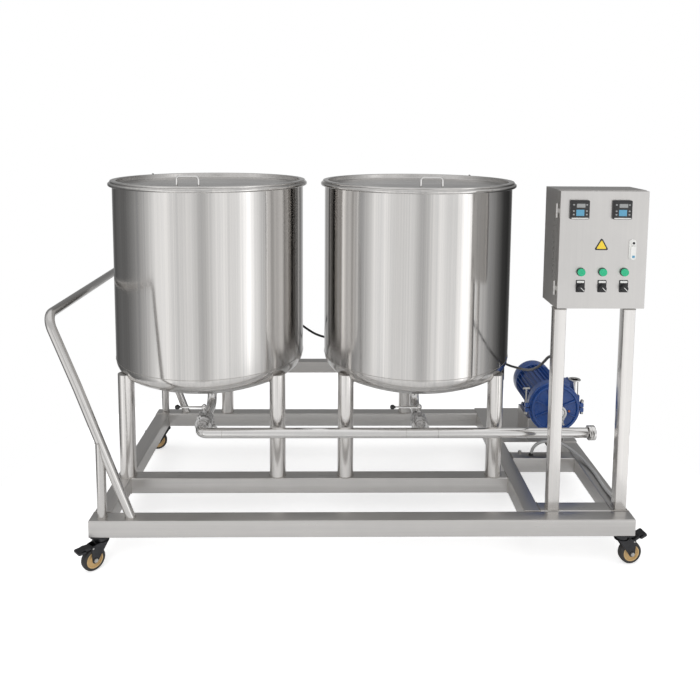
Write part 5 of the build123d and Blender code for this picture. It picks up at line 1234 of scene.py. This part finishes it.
class BuildPump(Operator):
    """Adds the pump's casing, ribbed cover, split band and discharge pipe"""

    bl_idname = "unit.pump"
    bl_label = "Pump"

    def execute(self, context):
        form = Form()
        corners = (
            (80, 0), (100, 0), (100, 22), (97, 24), (97, 66), (88, 74), (12.1, 74), (12.1, 52), (80, 52),
        )
        drum = rounded(corners, (0, 1, 2, 2, 6, 6, 0, 0, 0), 4)
        form.add(lathe(drum, 128), 0, (PUMP_X, CASING_FRONT, PUMP_Z), Y)
        boss = ((14.5, 20), (14.5, 42), (23, 42), (23, 0), (19, 0), (19, 20))
        boss = rounded(boss, (0, 0.5, 3, 0, 0, 0), 4)
        form.add(lathe(boss, 56), 0, (*DISCHARGE, PUMP_Z))
        form.build("pump_casing_shell", "frame", ["blue_paint"], "blue_paint", ["pump_casing"])
        self.cover()
        self.band()
        form = Form()
        start, end = (*DISCHARGE, 398), (*DISCHARGE, 462)
        form.add(pipe(np.linspace(start, end, 4), 16, 14.5))
        ferrule(form, (*DISCHARGE, 472), Z, 16.0, 14.5)
        form.build("discharge_stub", "frame", ["pipe_steel"], "polished_steel", ["discharge_pipe"])
        return {"FINISHED"}

    def cover(self):
        """The front cover: one turned section with a ring pocket, and eight ribs across the pocket."""
        form = Form()
        corners = (
            (17.5, -6), (79.7, -6), (79.7, 0), (98, 0), (98, 12), (90, 12), (88, 4.8), (34, 4.8), (32, 12),
            (24, 12), (19, 17), (19, 40), (17.5, 40),
        )
        section = rounded(corners, (0, 0.5, 0, 0.5, 2.5, 2.5, 2, 2, 2.5, 3, 3, 0, 0), 4)
        origin = (PUMP_X, CASING_FRONT, PUMP_Z)
        form.add(lathe(section, 128), 0, origin, FORWARD)
        rib = box_outline(57, 7, 1.5) + (60.5, 0)
        for k in range(8):
            form.add(pillow(spun(rib, 45 * k + 22.5), 3, 11.2, 1.8), 0, origin, FORWARD)
        form.add(pillow(circle(4.5, 24), 3, 9, 1.5), 1, (PUMP_X + 58, CASING_FRONT, PUMP_Z - 12), FORWARD)
        ferrule(form, (PUMP_X, PUMP_FACE, PUMP_Z), FORWARD)
        form.build("pump_front_cover", "frame", ["blue_paint", "orange_cap"], "blue_paint", ["pump_cover"])

    def band(self):
        """Two half bands with lugs, drawn up by a bolt on each side; the left one ends in a cross bar."""
        form = Form()
        origin = (PUMP_X, BAND_Y, PUMP_Z)
        section = rounded(((100.3, -9), (107.3, -9), (107.3, 9), (100.3, 9)), (0.5, 1.6, 1.6, 0.5), 3)
        gap = 2.0 / 104
        for low in (gap, pi + gap):
            form.add(lathe(section, 80, True, (low, low + pi - 2 * gap)), 0, origin, Y)
        lug = rounded(((-9, 2), (9, 2), (9, 19), (-2, 19), (-9, 10)), (0, 0.8, 4, 3, 3), 4)
        for side in (-1, 1):
            for up in (-1, 1):
                form.add(prism(lug * (side, up) + (side * 112.3, 0), -9, 9), 0, origin, Y)
            x = PUMP_X + side * BAND_BOLT
            form.add(rod((x, BAND_Y, 334), (x, BAND_Y, 441 if side < 0 else 394), 3.5, 24, 0.5), 1)
            form.add(hexagon(13, 332, 343), 1, (x, BAND_Y, 0))
        form.add(hexagon(13, 381, 390), 1, (PUMP_X + BAND_BOLT, BAND_Y, 0))
        x = PUMP_X - BAND_BOLT
        form.add(rod((x - 14, BAND_Y, 441), (x + 14, BAND_Y, 441), 4, 28, 1.0), 1)
        materials = ["blue_paint", "zinc_steel"]
        form.build("casing_band_halves", "frame", materials, "blue_paint", ["casing_band"], 0.6)


class BuildMotor(Operator):
    """Adds the finned motor, its fan cowl and wiring box, and coats what shows round them"""

    bl_idname = "unit.motor"
    bl_label = "Motor"

    def execute(self, context):
        form = Form()
        front, rear = (PUMP_X, MOTOR_FRONT, PUMP_Z), (PUMP_X, MOTOR_FRONT + MOTOR_LENGTH, PUMP_Z)
        core = ((46, 0), (74, 0), (74, MOTOR_LENGTH), (46, MOTOR_LENGTH))
        form.add(lathe(core, 96), 0, front, Y)
        fin = rounded(((70, -2), (85.8, -1.2), (85.8, 1.2), (70, 2)), (0, 1.1, 1.1, 0), 3)
        for k in range(28):
            form.add(prism(spun(fin, 360 * (k + 0.5) / 28), 0, MOTOR_LENGTH), 0, front, Y)
        shield = rounded(((12.1, 0), (40, 0), (46, 3), (86, 3), (86, 14), (12.1, 14)), (0, 3, 3, 3, 1, 0), 4)
        form.add(lathe(shield, 96), 0, front, FORWARD)
        form.add(lathe(shield, 96), 0, rear, Y)
        for side in (-1, 1):
            spot = (PUMP_X + side * 58, 712, 0)
            form.add(pillow(box_outline(26, 144, 3), 272, 282, 2), 0, spot)
            form.add(pillow(box_outline(10, 104, 3), 280, 324, 1), 0, spot)
            for y in (650, 774):
                form.add(hexagon(10, 282, 288), 1, (PUMP_X + side * 66, y, 0))
        form.build("motor_frame", "frame", ["blue_paint", "zinc_steel"], "blue_paint", ["motor_body"])
        self.cowl()
        self.wiring_box()
        coat_node("pump_stand", "cabinet_steel")
        coat_node("pump_rotor", "cast_steel")
        coat_node("cooling_fan", "black_plastic")
        return {"FINISHED"}

    def cowl(self):
        """The pressed cover over the fan: a shell, flat rings with gaps between them and three cross bars."""
        form = Form()
        origin = (PUMP_X, MOTOR_FRONT + MOTOR_LENGTH + 14, PUMP_Z)
        corners = ((84, 0), (86, 0), (86, 51), (69, 51), (69, 49), (84, 49))
        form.add(lathe(rounded(corners, (0.3, 0.3, 14, 0.5, 0.5, 12), 6), 96), 0, origin, Y)
        for low, high in ((0.01, 21), (27, 35), (41, 49), (55, 63)):
            form.add(lathe(((low, 49), (high, 49), (high, 51), (low, 51)), 72), 0, origin, Y)
        for angle in (90, 30, 150):
            form.add(prism(spun(box_outline(142, 9, 1), angle), 49.2, 50.8), 0, origin, Y)
        form.build("motor_fan_cowl", "frame", ["blue_paint"], "blue_paint", ["fan_cowl"], 0.4)

    def wiring_box(self):
        """The box on the motor's right with its gasket line, lid and four screws."""
        form = Form()
        origin = (880, 686, 382)
        form.add(pillow(box_outline(92, 72, 5), -12, 37, 0.6), 0, origin, X, Y)
        form.add(prism(box_outline(91, 71, 5), 36.5, 38.5), 1, origin, X, Y)
        form.add(pillow(box_outline(96, 76, 6), 38.2, 46, 2.4), 0, origin, X, Y)
        for y in (-40, 40):
            for z in (-30, 30):
                form.add(pillow(circle(3.6, 24), 45, 47.2, 1.0), 2, np.add(origin, (0, y, z)), X, Y)
        materials = ["blue_paint", "black_plastic", "zinc_steel"]
        form.build("motor_wiring_box", "frame", materials, "blue_paint", ["terminal_box"])


# Controls


class BuildCabinet(Operator):
    """Coats the cabinet, its door with their hinges, and the switchgear"""

    bl_idname = "unit.cabinet"
    bl_label = "Cabinet and door"

    def execute(self, context):
        coat_node("cabinet", "cabinet_steel")
        coat_node("door", "cabinet_steel")
        coat_node("switchgear", "black_plastic")
        return {"FINISHED"}


class BuildControls(Operator):
    """Adds controllers, lamps, switch plates, the yellow plate, the latch and the knobs"""

    bl_idname = "unit.controls"
    bl_label = "Controls"

    def execute(self, context):
        self.controllers()
        self.lamps()
        self.plates()
        self.latch()
        for number, x in enumerate(LAMP_X):
            self.selector(number, x)
        return {"FINISHED"}

    def controllers(self):
        """Two square instruments: bezel, grey window, a row of blue keys and a white lower strip."""
        form = Form()
        for x in METER_X:
            origin = (x, DOOR_FRONT, METER_Z)
            form.add(pillow(box_outline(64, 64, 4), 0, 10, 1.6), 0, origin, FORWARD)
            form.add(prism(box_outline(57.6, 57.6, 2), -55, 1), 0, origin, FORWARD)
            form.add(pillow(box_outline(56, 54, 2.0), 9.4, 10.4, 0.4), 2, origin, FORWARD)
            form.add(pillow(box_outline(29, 13, 1.0) + (2, 14), 10, 11, 0.4), 1, origin, FORWARD)
            form.add(pillow(box_outline(27, 21, 1.0) + (0, -10), 10, 11, 0.4), 3, origin, FORWARD)
            for side in (-1, 1):
                for rise in (-16, -4, 17):
                    key = box_outline(6, 5, 1.2) + (side * 22, rise)
                    form.add(pillow(key, 10, 11.2, 0.5), 1, origin, FORWARD)
            form.add(pillow(box_outline(57, 3.2, 0.8) + (0, -28.5), 9.4, 10.8, 0.4), 4, origin, FORWARD)
        materials = ["black_plastic", "grey_window", "gloss_black", "blue_keys", "white_plastic"]
        form.build("controller_fronts", "door", materials, "black_plastic", ["temperature_controllers"])

    def lamps(self):
        """Three lamps: a dark bezel and a lens with fine rings of height 12.55 + 0.25 cos(2 pi r / 2.2)."""
        form = Form()
        r = np.linspace(10.6, 0, 60)
        rings = np.column_stack((r, 12.55 + 0.25 * np.cos(2 * pi * r / 2.2)))
        side = rounded(((0, 3.8), (12.9, 3.8), (12.6, 12.8), (10.6, 12.6)), (0, 0, 1.8, 0), 4, False)
        lens = np.concatenate((side, rings[1:]))
        bezel = rounded(((12.7, 0), (14.5, 0), (14.5, 4), (12.7, 5)), (0, 0, 1.2, 0.6), 4)
        for x in LAMP_X:
            origin = (x, DOOR_FRONT, LAMP_Z)
            form.add(lathe(bezel, 56), 0, origin, FORWARD)
            form.add(lathe(lens, 56, False), 1, origin, FORWARD)
            form.add(rod((x, DOOR_FRONT - 4, LAMP_Z), (x, DOOR_FRONT + 38, LAMP_Z), 11, 32), 0)
        materials = ["black_plastic", "green_lens"]
        form.build("pilot_lamp_lenses", "door", materials, "green_lens", ["pilot_lamps"])

    def plates(self):
        """Switch plates, the yellow plate with its dark edge, and the latch's base."""
        form = Form()
        for x in LAMP_X:
            origin = (x, DOOR_FRONT, SWITCH_Z + 6)
            form.add(pillow(box_outline(30, 42, 3), 0, 2.5, 0.7), 0, origin, FORWARD)
            form.add(pillow(box_outline(24, 7, 0.8) + (0, 15), 2.2, 3.0, 0.25), 1, origin, FORWARD)
            form.add(rod((x, DOOR_FRONT, SWITCH_Z), (x, DOOR_FRONT + 38, SWITCH_Z), 11, 32), 0)
        side, middle = 50.0, 50.0 / sqrt(12)
        corner = np.array(((-side / 2, -middle), (side / 2, -middle), (0, 2 * middle)))
        origin = (SIGN_FOOT[0], DOOR_FRONT, SIGN_FOOT[1] + middle)
        form.add(pillow(rounded(corner, 4, 5), 0, 1.0, 0.3), 2, origin, FORWARD)
        form.add(pillow(rounded(corner * 0.7, 2.5, 5), 0.6, 1.4, 0.2), 3, origin, FORWARD)
        origin = (LATCH_X, DOOR_FRONT, LATCH_PLATE_Z)
        form.add(pillow(box_outline(25, 71, 12.2, 10), 0, 4, 1.2), 1, origin, FORWARD)
        form.add(pillow(circle(9, 40, (0, 23.5)), 3.5, 10, 1.4), 1, origin, FORWARD)
        form.add(pillow(circle(4.5, 32, (0, 23.5)), 9.6, 10.6, 0.4), 0, origin, FORWARD)
        form.add(rod((LATCH_X, DOOR_FRONT, LATCH_Z), (LATCH_X, DOOR_FRONT + 8, LATCH_Z), 7, 32), 1)
        materials = ["black_plastic", "white_plastic", "gloss_black", "yellow_plate"]
        form.build("door_front_plates", "door", materials, "black_plastic", ["door_plates"])

    def latch(self):
        """The turning grip with its shaft through the door and the tongue behind it."""
        form = Form()
        grip = box_outline(19, 48, 9.2, 10) + (0, 11)
        origin = (LATCH_X, DOOR_FRONT, LATCH_Z)
        form.add(pillow(grip, 4.3, 11.3, 2.6), 0, origin, FORWARD)
        form.add(rod((LATCH_X, DOOR_FRONT - 4.5, LATCH_Z), (LATCH_X, DOOR_FRONT + 14, LATCH_Z), 5, 28), 1)
        form.add(prism(box_outline(44, 16, 2) + (15, 0), -12.5, -10), 1, origin, FORWARD)
        form.add(pillow(box_outline(9, 8, 0.8) + (0, -1), 11, 12, 0.4), 2, origin, FORWARD)
        materials = ["white_plastic", "zinc_steel", "blue_keys"]
        form.build("latch_grip", "latch", materials, "white_plastic", ["door_latch"])

    def selector(self, number, x):
        """A round knob with a raised pointer bar to the lower right and a white line on it."""
        form = Form()
        origin = (x, DOOR_FRONT, SWITCH_Z)
        skirt = rounded(((0, 2.8), (12, 2.8), (12, 12), (11, 17.6), (0, 17.6)), (0, 0.5, 2, 2, 0), 4, False)
        form.add(lathe(skirt, 56, False), 0, origin, FORWARD)
        form.add(pillow(spun(box_outline(23.4, 7, 3.2), -45), 12, 19.6, 1.6), 0, origin, FORWARD)
        form.add(prism(spun(box_outline(17, 1.9, 0.6) + (2, 0), -45), 19.3, 19.9), 1, origin, FORWARD)
        form.add(rod((x, DOOR_FRONT - 3, SWITCH_Z), (x, DOOR_FRONT + 20, SWITCH_Z), 3, 24), 0)
        name = "selector_%d" % (number + 1)
        form.build(name + "_knob", name, ["black_plastic", "white_plastic"], "black_plastic", [name])


# Casters


class BuildCasters(Operator):
    """Adds every caster's fork, wheel and brake pedal, and coats the top plates"""

    bl_idname = "unit.casters"
    bl_label = "Casters"

    def execute(self, context):
        for name, spot, angle, lift in zip(CASTERS, CASTER_SPOTS, CASTER_TURN, PEDAL_REST):
            step = (*spot, 0.0)
            fork, wheel, pedal = self.fork(), self.wheel(), self.pedal(lift)
            for form in (fork, wheel, pedal):
                form.turn((0, 0, 0), Z, angle).shift(step)
            metals = ["black_steel", "zinc_steel"]
            fork.build(name + "_fork_frame", name + "_swivel", metals, "black_steel", [name + "_fork"], 0.4)
            tyre = ["tread_rubber", "tan_hub"]
            wheel.build(name + "_tyre", name + "_wheel", tyre, "tyre_rubber", [name + "_wheel"])
            steel = ["black_steel"]
            pedal.build(name + "_brake", name + "_pedal", steel, "black_steel", [name + "_pedal"], 0.4)
        coat_node("caster_plates", "black_steel")
        return {"FINISHED"}

    def fork(self):
        """Swivel crown, two cheeks, the pedal's pin and the wheel's axle with its nuts."""
        form = Form()
        crown = rounded(((5.1, 0), (25, 0), (25, 4), (5.1, 4)), (0, 1, 1.8, 0), 4)
        form.add(lathe(crown, 64), 0, (0, 0, FORK_TOP))
        form.add(prism(box_outline(24, 36, 3) + (17.5, 0), FORK_TOP, FORK_TOP + 4))
        cheek = hull_outline(((*AXLE, 11), (-14, FORK_TOP, 2), (-14, 93, 2), (18, 93, 2), (*PEDAL_PIN, 7)))
        for low in (-18, 15.5):
            form.add(prism(cheek, low, low + 2.5), 0, (0, 0, 0), FORWARD)
        form.add(cross_pin(PEDAL_PIN, 19.5, 3, 0.5), 1)
        form.add(cross_pin(AXLE, 24, 4, 0.6), 1)
        for away in (FORWARD, Y):
            form.add(hexagon(13, 18, 23), 1, (AXLE[0], 0, AXLE[1]), away)
        return form

    def wheel(self):
        """A grooved tread on a dished hub."""
        form = Form()
        out = size_mm("wheel_radius")
        half = (
            (29, -13), (35, -14), (out - 1, -10), (out - 0.4, -5.5), (out - 1.2, -4.9), (out - 1.2, -4.1),
            (out - 0.1, -3.5),
        )
        middle = (AXLE[0], 0, AXLE[1])
        form.add(lathe(mirrored(half, (0, 1.5, 1.5, 0.3, 0.2, 0.2, 0.3)), 96), 0, middle, Y)
        half = ((4.1, -14), (12, -14), (12, -8), (25, -8), (25, -13), (29, -13))
        form.add(lathe(mirrored(half, (0, 1.2, 1.5, 1.5, 0.8, 0)), 72), 1, middle, Y)
        return form

    def pedal(self, lift):
        """The foot lever over the wheel with ridges on its pad."""
        form = Form()
        arm = rounded(((37, 82), (62, 83), (88, 81), (92, 86), (66, 92.5), (40, 89)), (1, 8, 1.5, 2, 8, 3), 4)
        form.add(prism(arm, -15.2, 15.2), 0, (0, 0, 0), FORWARD)
        form.add(pillow(box_outline(28, 42.4, 6), 81.3, 87.4, 1.4), 0, (78, 0, 0))
        for x in (70, 78, 86):
            form.add(pillow(box_outline(2.2, 30, 1.0), 86.5, 90.5 - (x - 70) * 0.16, 0.6), 0, (x, 0, 0))
        form.turn((PEDAL_PIN[0], 0, PEDAL_PIN[1]), Y, -lift)
        return form


# Leads


def route_curve(name, route, radius):
    """A NURBS curve of order 3 through a route's control points, with its ends on the end points."""
    curve = bpy.data.curves.new(name, "CURVE")
    curve.dimensions = "3D"
    curve.resolution_u = 16
    spline = curve.splines.new("NURBS")
    spline.points.add(len(route) - 1)
    points = np.column_stack((place(route), np.ones(len(route))))
    spline.points.foreach_set("co", points.ravel())
    spline.order_u = 3
    spline.use_endpoint_u = True
    curve.bevel_depth = radius * MM
    curve.bevel_resolution = 5
    curve.use_fill_caps = True
    return add_object(name, curve)


class BuildLeads(Operator):
    """Adds the probe lead and the ridged conduit, and coats the glands"""

    bl_idname = "unit.leads"
    bl_label = "Leads"

    def execute(self, context):
        lead = route_curve("probe_lead_cable", LEAD_ROUTE, size_mm("lead_diameter") / 2)
        lead.data.materials.append(finish("cable_black"))
        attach(lead, "frame")
        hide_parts("probe_lead")
        self.conduit(size_mm("conduit_diameter") / 2)
        coat_node("cable_fittings", "black_plastic")
        return {"FINISHED"}

    def conduit(self, radius):
        """Ridges r (0.955 + 0.045 sin(2 pi s / 3.2)) along the length s of the route's own spline."""
        guide = route_curve("conduit_guide", CONDUIT_ROUTE, 0.0)
        mesh = bpy.data.meshes.new_from_object(guide)
        line = np.empty(len(mesh.vertices) * 3)
        mesh.vertices.foreach_get("co", line)
        bpy.data.objects.remove(guide)
        bpy.data.meshes.remove(mesh)
        line = (line.reshape(-1, 3) - ORIGIN) / MM
        run = np.concatenate(((0,), np.cumsum(np.linalg.norm(np.diff(line, axis=0), axis=1))))
        s = np.linspace(0, run[-1], int(run[-1] / 0.5))
        even = np.column_stack([np.interp(s, run, line[:, k]) for k in range(3)])
        form = Form()
        form.add(tube(even, radius * (0.955 + 0.045 * np.sin(2 * pi * s / 3.2)), 20))
        form.build("conduit_hose", "frame", ["conduit_grey"], "grey_plastic", ["conduit"], 0.0, 60.0)


# Studio


def soft_light(name, spot, aim, size, power):
    """A round area lamp that lights paint and floor but doesn't show in the steel."""
    lamp = bpy.data.lights.new(name, "AREA")
    lamp.shape = "DISK"
    lamp.size = size
    lamp.energy = power
    holder = add_object(name, lamp)
    holder.visible_glossy = False
    spot, aim = Vector(place(spot)[0]), Vector(place(aim)[0])
    turn = (aim - spot).to_track_quat("-Z", "Y").to_matrix().to_4x4()
    holder.matrix_world = Matrix.Translation(spot) @ turn


# Brightness of the studio at azimuths from the camera's side, to the right, near the horizon
STUDIO_LOW = (
    (-180, 0.75), (-165, 0.55), (-150, 0.20), (-140, 0.09), (-120, 0.16), (-108, 0.15), (-95, 0.25),
    (-78, 0.45), (-66, 0.72), (-58, 1.05), (-45, 1.15), (-30, 0.88), (-12, 0.96), (-2, 0.62),
    (4, 0.62), (14, 0.98), (23, 1.15), (31, 1.00), (42, 1.05), (50, 1.50), (56, 1.90), (63, 1.20),
    (75, 0.70), (90, 0.42), (105, 0.18), (120, 0.05), (135, 0.03), (150, 0.09), (165, 0.45), (180, 0.75),
)
STUDIO_HIGH = ((-180, 0.22), (-120, 0.32), (-90, 0.70), (90, 0.70), (120, 0.30), (180, 0.22))
CEILING = 0.9


class BuildStage(Operator):
    """Adds the floor, the studio's soft light and the camera"""

    bl_idname = "unit.stage"
    bl_label = "Studio"

    def execute(self, context):
        self.floor()
        self.surroundings()
        self.camera()
        soft_light("front_lamp", (-1200, -2600, 2900), (0, 0, 0), 2.4, 46)
        soft_light("top_lamp", (300, 200, 4200), (0, 500, 600), 3.0, 15)
        bpy.context.scene.view_settings.view_transform = "Standard"
        return {"FINISHED"}

    def floor(self):
        """A round pale floor that clips to white in the camera and keeps faint shadows."""
        material, tree, shader, _ = start_material("floor_white")
        white = tuple(bpy.context.scene.unit_colours.backdrop)
        shader.inputs["Base Color"].default_value = (*(0.8 * c for c in white), 1.0)
        shader.inputs["Roughness"].default_value = 0.9
        shader.inputs["Emission Color"].default_value = (*white, 1.0)
        seen = tree.nodes.new("ShaderNodeLightPath").outputs["Is Camera Ray"]
        tree.links.new(maths(tree, "MULTIPLY_ADD", seen, 0.52, 0.06), shader.inputs["Emission Strength"])
        disc = lathe(((0, -0.3), (750, -0.3), (1500, -0.3)), 96, False)
        mesh = Form().add(disc, 0, (0, 500, 0)).mesh("studio_floor", [material])
        add_object("studio_floor", mesh)

    def ramp(self, tree, factor, stops):
        """A colour ramp over azimuth, at half brightness so that no stop passes 1."""
        node = tree.nodes.new("ShaderNodeValToRGB")
        elements = node.color_ramp.elements
        while len(elements) < len(stops):
            elements.new(0.5)
        for element, (azimuth, value) in zip(elements, stops):
            element.position = azimuth / 360 + 0.5
            element.color = (value / 2, value / 2, value / 2, 1)
        tree.links.new(factor, node.inputs[0])
        return maths(tree, "MULTIPLY", node.outputs[0], 2.0)

    def surroundings(self):
        """White for the camera; for everything else soft panels by azimuth and height."""
        world = bpy.data.worlds.new("studio")
        bpy.context.scene.world = world
        world.use_nodes = True
        tree = world.node_tree
        tree.nodes.clear()
        way = tree.nodes.new("ShaderNodeSeparateXYZ")
        tree.links.new(tree.nodes.new("ShaderNodeTexCoord").outputs["Generated"], way.inputs[0])
        back = maths(tree, "MULTIPLY", way.outputs[1], -1.0)
        azimuth = maths(tree, "ARCTAN2", way.outputs[0], back)
        share = maths(tree, "MULTIPLY_ADD", azimuth, 1 / (2 * pi), 0.5)
        low = self.ramp(tree, share, STUDIO_LOW)
        high = self.ramp(tree, share, STUDIO_HIGH)
        height = maths(tree, "ARCSINE", way.outputs[2])
        rising = maths(tree, "MULTIPLY_ADD", height, 1 / radians(15), 3 / 15, clamp=True)
        above = maths(tree, "MULTIPLY_ADD", height, 1 / radians(20), -40 / 20, clamp=True)
        value = maths(tree, "MULTIPLY_ADD", maths(tree, "SUBTRACT", high, low), rising, low)
        value = maths(tree, "MULTIPLY_ADD", maths(tree, "SUBTRACT", CEILING, value), above, value)
        seen = tree.nodes.new("ShaderNodeLightPath").outputs["Is Camera Ray"]
        value = maths(tree, "MULTIPLY_ADD", maths(tree, "SUBTRACT", 1.0, value), seen, value)
        background = tree.nodes.new("ShaderNodeBackground")
        tree.links.new(value, background.inputs["Color"])
        output = tree.nodes.new("ShaderNodeOutputWorld")
        tree.links.new(background.outputs[0], output.inputs[0])

    def camera(self):
        """The photograph's view: position, then yaw, pitch down and roll as three axes."""
        pitch, yaw, roll = 0.102, 0.018, -0.007
        right = np.array((cos(yaw), -sin(yaw), 0))
        up = np.array((sin(yaw) * sin(pitch), cos(yaw) * sin(pitch), cos(pitch)))
        ahead = np.array((sin(yaw) * cos(pitch), cos(yaw) * cos(pitch), -sin(pitch)))
        right, up = cos(roll) * right - sin(roll) * up, sin(roll) * right + cos(roll) * up
        data = bpy.data.cameras.new("photo_camera")
        data.sensor_width = 36.0
        data.lens = 36.84
        data.shift_y = -0.2143
        data.clip_end = 100.0
        camera = add_object("photo_camera", data)
        turn = Matrix(np.column_stack((right, up, -ahead)).tolist()).to_4x4()
        spot = Vector(place((-96.5, -2317.1, 1511.7))[0])
        camera.matrix_world = Matrix.Translation(spot) @ turn
        bpy.context.scene.camera = camera


OPERATORS = (
    BuildRails, BuildPosts, BuildLegs, BuildTanks, BuildLids, BuildPorts, BuildClamps, BuildValves,
    BuildManifold, BuildPushHandle, BuildPump, BuildMotor, BuildCabinet, BuildControls, BuildCasters,
    BuildLeads, BuildStage,
)


class UnitPanel(Panel):
    """Lists the unit's pieces, sizes and colours"""

    bl_idname = "VIEW3D_PT_unit"
    bl_label = "Clean-in-place unit"
    bl_space_type = "VIEW_3D"
    bl_region_type = "UI"
    bl_category = "Unit"

    def draw(self, context):
        for one in OPERATORS:
            self.layout.operator(one.bl_idname)
        for group in (context.scene.unit_sizes, context.scene.unit_colours):
            for name in type(group).__annotations__:
                self.layout.prop(group, name)


CLASSES = (UnitSizes, UnitColours, *OPERATORS, UnitPanel)


def register():
    """Adds the classes and both groups of properties."""
    for one in CLASSES:
        bpy.utils.register_class(one)
    bpy.types.Scene.unit_sizes = PointerProperty(type=UnitSizes)
    bpy.types.Scene.unit_colours = PointerProperty(type=UnitColours)


def unregister():
    """Takes them away again."""
    del bpy.types.Scene.unit_colours
    del bpy.types.Scene.unit_sizes
    for one in reversed(CLASSES):
        bpy.utils.unregister_class(one)


def main():
    """Builds every piece in order."""
    register()
    for one in OPERATORS:
        step = one.bl_idname.split(".")[1]
        if getattr(bpy.ops.unit, step)() != {"FINISHED"}:
            raise RuntimeError(step + " didn't finish")


if __name__ == "__main__":
    main()
